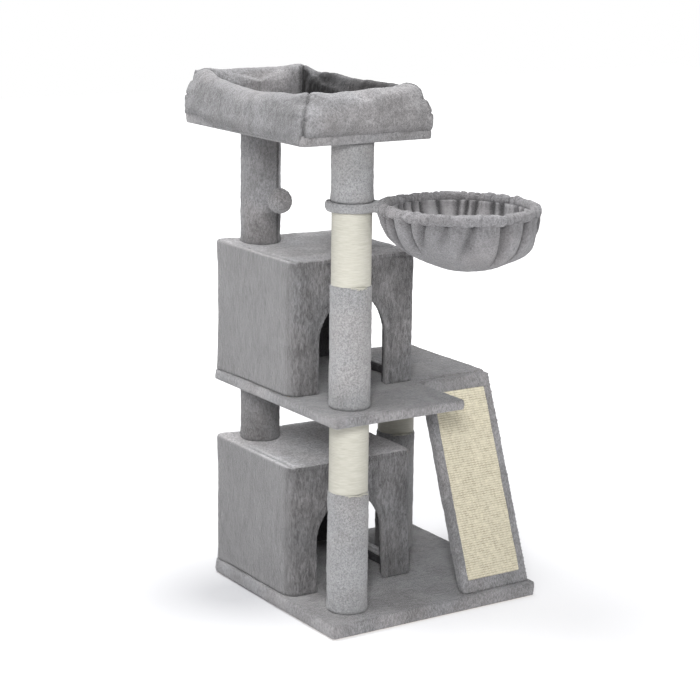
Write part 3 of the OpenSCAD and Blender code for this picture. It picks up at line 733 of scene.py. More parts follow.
def house(which, seed, shift, lean, ends):
    """Plush outside and lining of a house.

    shift moves the front doorway and lean spreads its right foot. ends is how far the back left corner
    stands out at its foot, and the less that is, the rounder the front right edge.
    """
    lo, hi = HOUSES[which]
    names = [f"{which}_house_{k}" for k in ("front", "back", "left", "right", "top")]
    cx, cy = (lo.x + hi.x) / 2 + shift, (lo.y + hi.y) / 2
    side_line = arch_line(cy, lo.z + SILL)
    front_edge = [(x, lo.y + 0.003, z) for x, z in arch_line(cx, lo.z + 0.001, lean)]
    side_edge = [(hi.x - 0.003, y, z) for y, z in side_line]
    outer_y, outer_x = lo.y + 0.002, hi.x - 0.002
    solids = [
        node_solid(f"{which}_house_cover", *names),
        tube(front_edge, DOOR_ROLL),
        tube(side_edge, DOOR_ROLL, closed=True),
        doorway_strip(arch_line(cx, lo.z, lean), DOOR_TRIM, outer_y, lo.y + WALL, upright_x),
        doorway_strip(side_line, DOOR_TRIM, hi.x - WALL, outer_x, upright_y),
        prism(rect(hi.x - WALL, cy - 0.09, outer_x, cy + 0.09), lo.z + 0.001, lo.z + SILL),
    ]
    obj = soften(f"{which}_house_plush", solids, 0.0029, 3)

    def seams(co, no):
        """Where the covering's seams and folds lie, from 0 to 1: under the roof's front edge, along its
        left edge, round the corner between them, up the front left edge and round the doorway."""
        x, y, z = co.T
        wander = 0.0016 * noise(co, 0.05, seed + 6)
        drop, in_x, in_y = hi.z - z, x - lo.x, y - lo.y
        under = bump(drop + wander, 0.0100, 0.0024) * (in_y < 0.012)
        under *= 0.45 + 0.3 * noise(co, 0.03, seed + 8)
        left = bump(in_x + wander, 0.0120, 0.0026) * (no[:, 2] > 0.6) * (1 - step(in_y, 0.14, 0.21))
        corner = bump(np.hypot(in_x - 0.010, in_y - 0.011), 0, 0.0036) * (drop < 0.02)
        edge = bump(np.hypot(in_x - 0.0045, in_y - 0.0150), 0, 0.0026) * (drop > 0.012)
        up = z - lo.z - ARCH_STRAIGHT
        wide = ARCH_HALF + lean * np.clip(-up / ARCH_STRAIGHT, 0, 1) * (x > cx)
        round_top = np.hypot((x - cx) / ARCH_HALF, up / ARCH_RISE) - 1
        gap = np.where(up > 0, round_top * ARCH_HALF, np.abs(x - cx) - wide)
        hem = bump(gap + 0.4 * wander, 0.0085, 0.0017) * (in_y < 0.010)
        hem *= 0.6 + 0.3 * noise(co, 0.02, seed + 9)
        return np.maximum.reduce([under, 0.9 * left, 0.9 * corner, 0.40 * edge, hem])

    def field(co, no):
        x, y, z = co.T
        h = pile(co, seed, 0.3, 0.55, (1, 1, 1.8))
        out = bump(x, lo.x, 0.01) + bump(x, hi.x, 0.01) + bump(y, lo.y, 0.01) + bump(y, hi.y, 0.01)
        t = (z - lo.z) / (hi.z - lo.z)
        h += 0.0012 * np.clip(out, 0, 1) * noise(co, (0.09, 0.09, 0.13), seed + 5)
        h -= 0.0021 * seams(co, no)
        # the cloth swells beside the fold on the roof
        beside = bump(x - lo.x, 0.021, 0.007) * (1 - step(y - lo.y, 0.1, 0.2))
        h += 0.0012 * beside * (no[:, 2] > 0.5)
        # the covering is turned through the doorways, over the panels' edges
        near, depth, slant = ARCH_HALF + 0.014, 0.024, 0.7
        front = (np.abs(no[:, 1]) < slant) & (y < lo.y + depth) & (np.abs(x - cx) < near)
        side = (np.abs(no[:, 0]) < slant) & (x > hi.x - depth) & (np.abs(y - cy) < near)
        h[(front | side) & (t < 0.86)] += 0.0016
        # the back left corner stands out at its ends
        corner = bump(from_axis(co, lo.x, hi.y), 0, 0.05)
        h += corner * (0.0026 + 0.0030 * bump(t, 1, 0.2) + ends * 0.0028 * bump(t, 0, 0.16))
        # a house whose ends stand out less spreads at its right foot and is rounder at its front right
        edge = np.clip((x - hi.x + 0.030) / 0.030, 0, 1) * (1 - ends) * 1.4
        h += edge * (np.abs(no[:, 0]) * 0.0055 * bump(t, 0, 0.3))
        tip = np.linalg.norm(co - (hi.x, lo.y, hi.z), axis=1)
        h -= 0.0070 * (1 - ends) * bump(tip, 0, 0.016)
        # the covering pulls in a little above the floor
        h += 0.0008 * bump(z, lo.z + 0.004, 0.006)
        return h

    # painted shade in the seams and folds, and along the foot where the house meets the floor
    paint_shading(obj, lambda co, no: 0.8 * seams(co, no) + 0.35 * bump(co[:, 2], lo.z, 0.004))
    relief(obj, field)
    co = get_points(obj.data)
    co[:, 2] = np.maximum(co[:, 2], lo.z - 0.001)
    set_points(obj.data, co)
    finish_piece(obj, f"{which}_house_cover", "house_plush")

    inset, t = WALL - 0.001, LINING
    x0, x1, y0, y1 = lo.x + inset, hi.x - inset, lo.y + inset, hi.y - inset
    z0, z1 = lo.z, hi.z - inset
    inner = [
        prism(wall_with_arch(x0, x1, z0, z1, cx, z0, lean), y0, y0 + t, upright_x),
        prism(rect(x0, z0, x1, z1), y1 - t, y1, upright_x),
        prism(rect(y0, z0, y1, z1), x0, x0 + t, upright_y),
        prism(wall_with_arch(y0, y1, z0, z1, cy, z0 + SILL), x1 - t, x1, upright_y),
        prism(rect(y0, z0, y1, z0 + SILL), x1 - t, x1, upright_y),
        prism(rect(x0, y0, x1, y1), z1 - t, z1),
    ]
    skin = soften(f"{which}_house_lining_plush", inner, 0.0032, 3)
    relief(skin, lambda co, no: pile(co, seed + 7, 0.3, 0.5))
    finish_piece(skin, f"{which}_house_lining", "plush_lining")


house("lower", 40, shift=-0.002, lean=0.007, ends=0.3)
house("upper", 60, shift=0.0, lean=0.0, ends=1.0)


# ---- posts ----


def round_axis(centre, r, angle, z):
    """Points at radius r, angle and height z about an upright axis."""
    return np.stack(np.broadcast_arrays(centre[0] + r * np.cos(angle), centre[1] + r * np.sin(angle), z), -1)


def lathe(name, centre, loop, sides):
    """Closed ring of revolution about an upright axis, from a closed loop of (radius, z)."""
    r, z = np.asarray(loop, float).T[:, :, None]
    verts = round_axis(centre, r, circle(sides), z).reshape(-1, 3)
    quads = grid_quads(len(loop), sides, wrap_rows=True, wrap_cols=True)
    return make_object(name, mesh_from(name, verts, quads))


def about(co, no, centre):
    """Each point's x and y from an upright axis, and how far its normal points away from it."""
    dx, dy = co[:, 0] - centre[0], co[:, 1] - centre[1]
    return dx, dy, (dx * no[:, 0] + dy * no[:, 1]) / np.hypot(dx, dy)


def plush_post(node, centre, seed, seam_angle, skin):
    """Plush sleeve of a post section, with its seam at seam_angle in degrees."""
    lo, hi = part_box(node)
    r = (hi.x - lo.x) / 2
    z = np.linspace(lo.z, hi.z, int((hi.z - lo.z) / 0.0022))
    edge = np.minimum(z - lo.z, hi.z - z)
    outer = r - 0.0022 * (1 - step(edge, 0, 0.004))
    loop = list(zip(outer, z)) + [(r - 0.0040, hi.z), (r - 0.0040, lo.z)]
    obj = lathe(node + "_pile", centre, loop, 116)

    def from_seam(co):
        """Distance round the post from its seam."""
        a = np.arctan2(co[:, 1] - centre[1], co[:, 0] - centre[0]) - math.radians(seam_angle)
        return ((a + np.pi) % (2 * np.pi) - np.pi) * r

    def field(co, no):
        _, _, radial = about(co, no, centre)
        h = pile(co, seed, 0.55, 0.5, (1, 1, 1.25))
        h += 0.0011 * bump(co[:, 2], lo.z + 0.006, 0.007)
        a = from_seam(co)
        h -= 0.0022 * bump(a, 0, 0.0018)
        h += 0.0010 * bump(a, 0.006, 0.004) + 0.0006 * bump(a, -0.006, 0.004)
        h[radial < 0.2] = 0
        return h

    # painted shade along the sleeve's seam
    paint_shading(obj, lambda co, no: bump(from_seam(co), 0, 0.0036))
    relief(obj, field)
    finish_piece(obj, node, skin)


def frays(centre, r, z, seed, count=9):
    """The cord's end and loose fibres, which stick out where the sisal meets the plush below it."""
    rng = np.random.default_rng(seed)
    t = np.linspace(0, 1, 24)
    high = z - 0.0004 - 0.0026 * np.abs(np.sin(7 * t + seed)) * t
    strands = [tube(round_axis(centre, r + 0.0022, -2.15 + 0.75 * t, high), 0.0011, 6)]
    for _ in range(count):
        a, length = rng.uniform(-2.1, -1.3), rng.uniform(0.008, 0.018)
        t = np.linspace(0, 1, 7)
        turn = a + length / r * t * rng.choice((-1, 1)) * 0.9
        reach = r - 0.001 + rng.uniform(0.0045, 0.0065) * np.sin(np.pi * (0.1 + 0.65 * t))
        high = z + 0.0010 - rng.uniform(0.002, 0.006) * t + 0.0014 * np.sin(5 * t + a)
        strands.append(tube(round_axis(centre, reach, turn, high), 0.0008, 6))
    return strands


def add_parts(obj, parts):
    """Joins closed parts, given as (verts, faces), to the object's mesh."""
    with editing(obj.data) as bm:
        for verts, faces in parts:
            made = [bm.verts.new(v) for v in verts]
            for f in faces:
                bm.faces.new([made[i] for i in f])


def sisal_post(node, centre, seed, pitch=0.0029):
    """Sisal cord wound on a post section, its turns pitch apart."""
    lo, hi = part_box(node)
    r = (hi.x - lo.x) / 2
    z = np.arange(lo.z, hi.z + 1e-6, pitch / 7)
    loop = [(r, zz) for zz in z] + [(r - 0.002, hi.z), (r - 0.002, lo.z)]
    obj = lathe(node + "_wrap", centre, loop, 96)

    def field(co, no):
        dx, dy, radial = about(co, no, centre)
        angle = np.arctan2(dy, dx) / (2 * math.pi)
        flat = np.stack([dx, dy, co[:, 2]], -1)
        wander = 0.22 * noise(flat, (0.05, 0.05, 0.012), seed)
        turn = co[:, 2] / pitch - angle + wander
        across = np.abs(((turn % 1) - 0.5) * 2)
        h = MM * (0.62 * np.sqrt(np.clip(1 - across**2, 0, 1)) - 0.45)
        h += MM * 0.16 * noise(flat, (0.004, 0.004, 0.0016), seed + 1)
        h[radial < 0.2] = 0
        return h

    relief(obj, field)
    add_parts(obj, frays(centre, r, lo.z, seed))
    finish_piece(obj, node, "sisal_wrap")


for node, centre, seed, seam_angle, skin in (
    ("front_post_lower_plush", FRONT_POST, 81, 80, "lit_post_plush"),
    ("front_post_middle_plush", FRONT_POST, 84, 70, "lit_post_plush"),
    ("front_post_upper_plush", FRONT_POST, 87, 60, "lit_post_plush"),
    ("rear_post_lower_plush", REAR_POST, 90, 60, "shaded_rear_plush"),
    ("rear_post_upper_plush", REAR_POST, 93, -64, "plush"),
    ("side_post_plush", SIDE_POST, 96, 60, "lit_post_plush"),
):
    plush_post(node, centre, seed, seam_angle, skin)
sisal_post("front_post_lower_sisal", FRONT_POST, 101)
sisal_post("front_post_middle_sisal", FRONT_POST, 104)
sisal_post("side_post_sisal", SIDE_POST, 107)


# ---- perch: padded rims and floor ----


def inflate(obj, pressure, frames, cap, hold_below=None, ease=None):
    """Lets a closed skin swell like a stuffed cover, then keeps each point within cap of its start.

    Points under hold_below stay where they are, as where a cover is tacked to its board. ease gives how
    much of its move each point keeps.
    """
    rest = get_points(obj.data).copy()
    m = obj.modifiers.new("cover", "CLOTH")
    s = m.settings
    s.quality, s.mass = 5, 0.3
    s.tension_stiffness = s.compression_stiffness = 15.0
    s.shear_stiffness, s.bending_stiffness = 5.0, 0.5
    s.use_pressure, s.uniform_pressure_force = True, pressure
    s.effector_weights.gravity = 0
    if hold_below is not None:
        held = obj.vertex_groups.new(name="held")
        held.add(np.nonzero(rest[:, 2] < hold_below)[0].tolist(), 1.0, "REPLACE")
        s.vertex_group_mass = "held"
    m.collision_settings.use_collision = False
    m.point_cache.frame_start, m.point_cache.frame_end = 1, frames
    for f in range(1, frames + 1):
        SCENE.frame_set(f)
    baked(obj)
    SCENE.frame_set(1)
    move = get_points(obj.data) - rest
    size = np.linalg.norm(move, axis=1)
    move *= np.minimum(1, cap / np.maximum(size, 1e-9))[:, None]
    if ease:
        move *= ease(rest)[:, None]
    set_points(obj.data, rest + move)


def finer(obj):
    m = obj.modifiers.new("finer", "SUBSURF")
    m.levels = m.render_levels = 1
    baked(obj)


# how much higher than drawn the rims' top is at each corner, and how far it sags between them, in mm
CORNER_RISE = {"front left": -4, "front right": 3, "back left": 9, "back right": 10}
SAG = {"left": 14, "right": 0, "front": -7, "back": -7}
# the perch's corners: x and y, and the way from there toward the middle
PERCH_CORNERS = [
    (x, y, np.array((turn_x, turn_y)))
    for x, turn_x in ((PERCH_LO.x, 1.0), (PERCH_HI.x, -1.0))
    for y, turn_y in ((PERCH_LO.y, 1.0), (PERCH_HI.y, -1.0))
]


def mitre_gap(co):
    """Distance from the nearest of the four planes where two rims meet."""
    gaps = []
    for x, y, inward in PERCH_CORNERS:
        off = (co[:, 0] - x) * inward[0] - (co[:, 1] - y) * inward[1]
        gaps.append(np.where(from_axis(co, x, y) < 0.1, np.abs(off) / math.sqrt(2), 1.0))
    return np.minimum.reduce(gaps)


def round_perch(co):
    """Draws the perch's stuffed corners in toward the top. It goes by place alone, so that neighbouring
    rims stay joined."""
    t = np.clip((co[:, 2] - RIM_LO.z) / (RIM_HI.z - RIM_LO.z), 0, 1.1)
    for x, y, inward in PERCH_CORNERS:
        near = bump(from_axis(co, x, y), 0, 0.055)
        drawn = 0.001 if (x, y) == (PERCH_LO.x, PERCH_HI.y) else 0.007
        co[:, :2] += (drawn * near * t**2.5 - 0.0034 * near * bump(t, 0.4, 0.3))[:, None] * inward
    # the front left seam leans over to the right near its top
    near = bump(from_axis(co, PERCH_LO.x + 0.014, PERCH_LO.y + 0.014), 0, 0.026)
    co[:, 0] += 0.009 * near * step(t, 0.60, 0.80)
    u = np.clip((co[:, 0] - PERCH_LO.x) / (PERCH_HI.x - PERCH_LO.x), 0, 1)
    v = np.clip((co[:, 1] - PERCH_LO.y) / (PERCH_HI.y - PERCH_LO.y), 0, 1)
    c = CORNER_RISE
    rise = (c["front left"] * (1 - u) + c["front right"] * u) * (1 - v)
    rise += (c["back left"] * (1 - u) + c["back right"] * u) * v
    for side, across, inward, margin, width in (
        ("left", v, u, 0.11, 0.25), ("right", v, 1 - u, 0.11, 0.25),
        ("front", u, v, 0.17, 0.17), ("back", u, 1 - v, 0.17, 0.17),
    ):
        along = np.clip((across - margin) / (1 - 2 * margin), 0, 1)
        rise -= SAG[side] * np.sin(np.pi * along) ** 1.3 * (inward < width)
    co[:, 2] += MM * t**1.5 * (rise + 1.3 * noise(co * (1, 1, 0), 0.06, 119))
    return co


def straighten_tips(co):
    """Smooths the upright edge where two rims meet at each outer corner."""
    for x, y, inward in PERCH_CORNERS:
        near = np.nonzero(from_axis(co, x, y) < 0.07)[0]
        if len(near) < 50:  # this rim doesn't reach that corner
            continue
        diagonal = inward / math.sqrt(2)
        depth = (co[near, :2] - (x, y)) @ diagonal
        rows = np.floor((co[near, 2] - RIM_LO.z) / 0.0025).astype(int)
        rows = np.clip(rows, 0, rows.max())
        tip = np.array([depth[np.abs(rows - r) < 2].min() for r in range(rows.max() + 1)])
        at = np.arange(len(tip))
        body = at < len(tip) * 0.93
        even = np.polyval(np.polyfit(at[body], tip[body], 3), at)
        move = np.where(body, even - tip, 0.0)
        move = np.convolve(np.pad(move, 1, "edge"), (0.25, 0.5, 0.25), "valid")
        weight = bump(depth, tip[rows], 0.012)
        co[near, :2] += (move[rows] * weight)[:, None] * diagonal
    return co


def padded_rim(side, seed, fold):
    """One stuffed side of the perch. fold is the end, -1 or 1, whose cover is drawn into the seam."""
    node = f"perch_bolster_{side}"
    lo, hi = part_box(node)
    along = 0 if side in ("front", "back") else 1
    z0, height = lo.z, hi.z - lo.z
    mid, half = (lo[along] + hi[along]) / 2, (hi[along] - lo[along]) / 2
    obj = soften(f"perch_rim_{side}", [node_solid(node)], 0.005, 2)
    # a little smaller than the stuffed shape, but full length, so that the mitres meet
    relief(obj, lambda co, no: 0.0020 * step(np.abs(no[:, along]), 0.1, 0.7) - 0.0004)
    ease = lambda co: step(mitre_gap(co), 0.002, 0.03)
    inflate(obj, 6.0, 20, cap=0.009, hold_below=z0 + 0.003, ease=ease)
    finer(obj)

    co = straighten_tips(get_points(obj.data))
    t = np.clip((co[:, 2] - z0) / height, 0, 1)
    # the cover bellies out over the board's edge
    middle = ((PERCH_LO + PERCH_HI) / 2)[1 - along]
    away = np.sign((lo[1 - along] + hi[1 - along]) / 2 - middle)
    reach = (PERCH_HI - PERCH_LO)[1 - along] / 2
    outer = step((co[:, 1 - along] - middle) * away, reach - 0.022, reach - 0.006)
    hang = 0.6 if side == "left" else 1.0
    belly = 0.0034 * hang * bump(t, 0.10, 0.16) + 0.0026 * bump(t, 0.5, 0.3)
    co[:, 1 - along] += away * outer * belly
    co[:, 2] -= 0.0032 * outer * bump(t, 0, 0.1)
    if side == "left":
        low = outer * bump(t, 0, 0.14) * (1 - step(co[:, 1], 0.10, 0.17))
        co[:, 2] -= 0.0145 * low
        co[:, 0] -= 0.0030 * low
    set_points(obj.data, round_perch(co))

    def field(co, no):
        h = pile(co, seed, 0.34, 0.7, (1, 1, 1.3))
        s = (co[:, along] - mid) / half
        t = (co[:, 2] - z0) / height
        h += 0.0026 * noise(co, (0.09, 0.09, 0.05), seed + 5) * step(t, 0.05, 0.4)
        h += 0.0012 * noise(co, 0.03, seed + 8) * step(t, 0.1, 0.4)
        end = step(np.abs(no[:, along]), 0.2, 0.8)
        h -= 0.0014 * bump(mitre_gap(co), 0, 0.0035) * (1 - end) - 0.0006 * end
        # short gathers beside the seam at the drawn end
        near = bump(s * fold, 1.0, 0.12)
        h += 0.0004 * near * np.sin(co[:, 2] / 0.0065 + 3 * noise(co, 0.03, seed + 6)) * step(t, 0.45, 0.8)
        return h

    def painted_seam_shade(co):
        """How much painted shade the seam gets: all of it at the front left corner, the inner part
        elsewhere.
        """
        far = np.minimum.reduce([from_axis(co, x, y) for x, y, _ in PERCH_CORNERS[1:]])
        return 1.25 * bump(mitre_gap(co), 0, 0.0036) * step(far, 0.025, 0.045)

    # painted shade in the seams, and along the rim's foot in the crease above the board, less on the left
    # rim
    paint_shading(obj, lambda co, no: painted_seam_shade(co) + 0.7 * (hang - 0.3) * bump(co[:, 2], z0 - 0.001, 0.005))
    relief(obj, field)
    finish_piece(obj, node, "rim_right" if side == "right" else "padded_plush")


padded_rim("left", 121, 1)
padded_rim("front", 125, -1)
padded_rim("right", 129, 1)
padded_rim("back", 133, -1)

PAD_LO, PAD_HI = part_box("perch_pad")
pad = soften("perch_floor_pad", [node_solid("perch_pad")], 0.005, 3)
relief(pad, lambda co, no: np.full(len(co), -0.0015))
inflate(pad, 3.0, 14, 0.005)
finer(pad)


def pad_field(co, no):
    u = (co[:, 0] - PAD_LO.x) / (PAD_HI.x - PAD_LO.x) * 2 - 1
    v = (co[:, 1] - PAD_LO.y) / (PAD_HI.y - PAD_LO.y) * 2 - 1
    crown = np.clip(1 - u**4, 0, 1) * np.clip(1 - v**4, 0, 1)
    h = pile(co, 141, 0.36, 0.7) + 0.0012 * noise(co, 0.07, 144)
    return h + np.where(no[:, 2] > 0.3, 0.0035 * crown - 0.0008, -0.0003)


relief(pad, pad_field)
finish_piece(pad, "perch_pad", "padded_plush")


# ---- ramp ----

RAMP_LO, RAMP_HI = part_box("ramp_cover")
UP_SLOPE = np.array((0, math.sin(RAMP_TILT), math.cos(RAMP_TILT)))
OUTWARD = np.array((0, -math.cos(RAMP_TILT), math.sin(RAMP_TILT)))
RAMP_FOOT = np.array((0, -0.220, 0.030))
RAMP_TOP = (-0.050, 0.436)
RAMP_BOARD, RAMP_SLANT = 0.020, 1.071  # its thickness, and its length for each metre up
# the mat's edges: x, and distance up the slope from the foot
MAT_X0, MAT_X1, MAT_S0, MAT_S1 = 0.090, 0.218, 0.026, 0.4088


def ramp():
    (_, foot_y, foot_z), (top_y, top_z) = RAMP_FOOT, RAMP_TOP
    face_y = lambda z, inset=0.0: foot_y + RAMP_RUN * (z - foot_z) + inset * RAMP_SLANT
    edge_z = foot_z + (top_y - foot_y - RAMP_BOARD * RAMP_SLANT) / RAMP_RUN
    outline = [(face_y(foot_z), foot_z), (face_y(foot_z, RAMP_BOARD), foot_z), (top_y, edge_z),
               (top_y, top_z), (face_y(top_z), top_z)]
    body = prism(outline, RAMP_LO.x, RAMP_HI.x, upright_y)
    obj = soften("ramp_plush", [body], 0.0027, 3)

    def field(co, no):
        s = (co - RAMP_FOOT) @ UP_SLOPE
        inside = 1.0
        for at, lo, hi in ((co[:, 0], MAT_X0, MAT_X1), (s, MAT_S0, MAT_S1)):
            inside = inside * step(at, lo - 0.0006, lo + 0.0022) * (1 - step(at, hi - 0.0022, hi + 0.0006))
        face = no @ OUTWARD > 0.6
        h = pile(co, 151, 0.32, 0.45)
        return np.where(face, h * (1 - inside) - 0.0042 * inside + 0.0009 * (1 - inside), h)

    relief(obj, field)
    finish_piece(obj, "ramp_cover")


ramp()


def sisal_mat():
    """Woven mat in the ramp: weft ribs that pass over and under warp cords."""
    nx, ns, over_edge = 129, 383, 0.0005
    s = np.linspace(MAT_S0 - over_edge, MAT_S1 + over_edge, ns)
    x = np.linspace(MAT_X0 - over_edge, MAT_X1 + over_edge, nx)
    s, x = (a.ravel() for a in np.meshgrid(s, x, indexing="ij"))
    flat = np.stack([x, s, 0 * x], -1)
    row = (s + 0.0006 * noise(flat, (0.05, 0.02, 1), 161)) / MAT_RIB
    col = (x + 0.0005 * noise(flat, (0.02, 0.05, 1), 162)) / MAT_CORD + 0.5 * (np.floor(row) % 2)
    ribs = np.sqrt(np.clip(1 - ((row % 1) * 2 - 1) ** 2, 0, 1))
    over = 0.5 + 0.5 * np.cos(2 * np.pi * col)
    h = MM * (0.75 * ribs * (0.55 + 0.45 * over) + 0.12 * noise(flat, (0.003, 0.0012, 1), 163))
    h += 0.0004 * noise(flat, (0.03, 0.03, 1), 164)

    def on_ramp(height):
        points = RAMP_FOOT + s[:, None] * UP_SLOPE + height * OUTWARD
        points[:, 0] = x
        return points

    top, back = on_ramp((h - 0.0012)[:, None]), on_ramp(-0.0036)
    # the back is one flat face, joined to the woven top round the grid's edge
    grid = np.arange(ns * nx).reshape(ns, nx)
    ids = np.concatenate([grid[0], grid[1:, -1], grid[-1, -2::-1], grid[-2:0:-1, 0]])
    n, count = len(ids), len(top)
    faces = grid_quads(ns, nx) + [(count + (i - 1) % n, count + i, ids[i], ids[i - 1]) for i in range(n)]
    faces.append(tuple(count + i for i in reversed(range(n))))
    verts = np.concatenate([top, back[ids]])
    obj = make_object("ramp_woven_mat", mesh_from("ramp_woven_mat", verts, faces))
    face_outward(obj)
    finish_piece(obj, "ramp_sisal_panel", "sisal_mat")


sisal_mat()


# ---- hammock ----

HAM_TURN, HAM_REACH, RING_R = math.radians(-39.4), 0.201, 0.143
HAM_ORIGIN = np.array((*FRONT_POST, 0.827))
BOWL_DEPTH = 0.111


def from_hammock(p):
    """Takes points given from the post's axis, with +X toward the ring, to their place."""
    c, s = math.cos(HAM_TURN), math.sin(HAM_TURN)
    x, y, z = p.T
    return np.stack([x * c - y * s, x * s + y * c, z], -1) + HAM_ORIGIN


def folds(rng, count, least, most):
    """Random creases round the bowl: start angle, drift down the side, length and depth of each."""
    gaps = rng.uniform(least, most, count)
    starts = np.cumsum(gaps) / gaps.sum() * 2 * np.pi
    length = rng.uniform(0.25, 0.8, count)
    return starts, rng.normal(0, 0.26, count), length, 0.35 + 0.65 * length * rng.uniform(0.8, 1.25, count)


def lobes(creases, theta, s, sharp):
    """Height of the lobes at depth s, which is 0 in a crease, and the painted shade at each point in a
    crease as wide as sharp. Both fade where the creases beside them run out."""
    starts, drift, length, deep = creases
    place = (starts + drift * s) % (2 * np.pi)
    order = np.argsort(place)
    edges = place[order]
    k = np.searchsorted(edges, theta, side="right") - 1
    left, right = edges[k], edges[(k + 1) % len(edges)]
    width = (right - left) % (2 * np.pi) + 1e-6
    t = ((theta - left) % (2 * np.pi)) / width
    fade = (deep * (1 - step(np.full(len(deep), s), 0.25 * length, length)))[order]
    amp = fade[k] * (1 - t) + fade[(k + 1) % len(edges)] * t
    gap = np.minimum(t, 1 - t) * width * RING_R
    return amp * (np.sin(np.pi * t) ** 0.7 - 0.6 * bump(gap, 0, 0.007)), amp * bump(gap, 0, sharp)


def basket():
    """Gathered bowl. Its creases run down from the rim, and the inside has its own, closer together."""
    rng = np.random.default_rng(23)
    sides, rows = 540, 90
    outer_folds = folds(rng, 21, 0.35, 1.9)
    inner_folds = folds(rng, 28, 0.5, 1.5)
    theta = circle(sides)
    # the far side hangs fuller than the side by the post
    power = 2 / (2.2 + 0.5 * np.cos(theta))
    short = 0.5 + 0.5 * np.sin(theta * 71 + 3 * np.sin(5 * theta))
    surfaces, shading_marks = [], []
    for inside in (False, True):
        rings, dark = [], []
        for i in range(rows):
            s = i / (rows - 1)
            a = 0.5 * np.pi * s**0.9
            ca, sa = max(math.cos(a), 0), math.sin(a)
            r = RING_R * ca**power if i < rows - 1 else 0 * theta
            z = -BOWL_DEPTH * sa**power
            gather = short * 0.0014 * (1 - step(s, 0.05, 0.2))
            # how far each face stands off the bowl's middle: its lobes stand out on its own side, and
            # at the bottom, where they run together, it settles to at_pole
            if inside:
                high, deep = lobes(inner_folds, theta, 0.65 * s, 0.0042)
                off = np.minimum(-0.0090 - 0.0105 * high + gather, -0.0080)
                crown_highlight, at_pole = 1.0, -0.0026
            else:
                high, deep = lobes(outer_folds, theta, s, 0.0075)
                off = np.maximum(-0.0030 + 0.0165 * high + gather, -0.0060)
                deep, crown_highlight, at_pole = 0.8 * deep, 0.10, 0.0020
            # painted shade in the creases and just below the rim, and painted highlight on the lobes'
            # crowns, strongest inside
            shade_below_rim = 0.45 * bump(s, 0.02, 0.05) * (1 - 0.6 * short)
            dark.append(deep - crown_highlight * high + shade_below_rim)
            squeeze = np.minimum(1.0, r / 0.03)
            off = off * squeeze + at_pole * (1 - squeeze)
            # (ca, -sa) points out of the bowl there
            rr = np.maximum(r + ca * off, 0.0)
            zz = z - sa * off - 0.004
            rings.append(np.stack([HAM_REACH + rr * np.cos(theta), rr * np.sin(theta), zz], -1))
        surfaces.append(np.array(rings)[:-1])
        shading_marks.append(np.array(dark)[:-1])
    # one closed skin: up the outside, down the inside, and a fan at both bottoms
    outer, inner = surfaces
    shading_marks = np.concatenate([shading_marks[0][::-1].ravel(), shading_marks[1].ravel(), [0, 0]])
    loop = np.concatenate([outer[::-1], inner])
    n = len(loop)
    verts = loop.reshape(-1, 3)
    quads = grid_quads(n, sides, wrap_cols=True)
    low = len(verts)
    verts = np.concatenate([verts, [outer[-1].mean(0), inner[-1].mean(0)]])
    fans = [(low, (j + 1) % sides, j) for j in range(sides)]
    base = (n - 1) * sides
    fans += [(low + 1, base + j, base + (j + 1) % sides) for j in range(sides)]
    obj = make_object("hammock_bowl", mesh_from("hammock_bowl", from_hammock(verts), quads + fans))
    face_outward(obj)
    paint_shading(obj, lambda co, no: shading_marks)

    def field(co, no):
        # both faces sag together, so the cloth keeps its thickness
        face = np.sign(((co - from_hammock(np.array([[HAM_REACH, 0, 0]]))) * no).sum(1))
        return pile(co, 171, 0.34, 0.2) + face * 0.0026 * noise(co, 0.05, 174)

    relief(obj, field)
    finish_piece(obj, "hammock_basket", "basket_plush", "hammock")


basket()


def scrunched_ring():
    """Sleeve gathered on the ring: slanting gathers over larger lumps, thicker where the neck joins it."""
    around, sides = 720, 44
    U, V = np.meshgrid(circle(around), circle(sides), indexing="ij")
    U, V = U.ravel(), V.ravel()
    on_ring = np.stack([RING_R * np.cos(U), RING_R * np.sin(U), 0 * U], -1)
    off = np.stack([np.cos(V) * np.cos(U), np.cos(V) * np.sin(U), np.sin(V)], -1)
    twisted = on_ring + 0.0045 * off * (1, 1, 1.6)
    gathers = bump(noise(twisted, 0.0135, 181), 0, 0.13)
    gathers = np.maximum(gathers, 0.45 * bump(noise(twisted, 0.0085, 182), 0, 0.16))
    lumps = noise(on_ring + 0.011 * off, 0.017, 183)
    strength = np.clip(0.75 + 0.5 * noise(on_ring, 0.03, 184), 0.3, 1.1)
    neck = bump(np.abs(U - np.pi), 0, 0.42)
    minor = 0.0106 + 0.0018 * neck + 0.0019 * lumps - 0.0032 * gathers * strength
    r = RING_R + minor * np.cos(V)
    z = minor * np.sin(V) * 1.08
    verts = from_hammock(np.stack([HAM_REACH + r * np.cos(U), r * np.sin(U), z], -1))
    obj = make_object("hammock_rim", mesh_from("hammock_rim", verts, grid_quads(around, sides, True, True)))
    # painted shade in the gathers' creases
    paint_shading(obj, lambda co, no: 0.6 * gathers * strength)
    relief(obj, lambda co, no: pile(co, 186, 0.34, 0.3))
    finish_piece(obj, "hammock_rim_sleeve", "hammock_plush", "hammock")


scrunched_ring()


# the neck's sections: distance from the post's axis, half width, height above and below the ring's plane
NECK = (
    (0.042, 0.028, 0.0080, 0.0085), (0.050, 0.029, 0.0100, 0.0115),
    (0.058, 0.036, 0.0105, 0.0140), (0.066, 0.047, 0.0065, 0.0120),
)


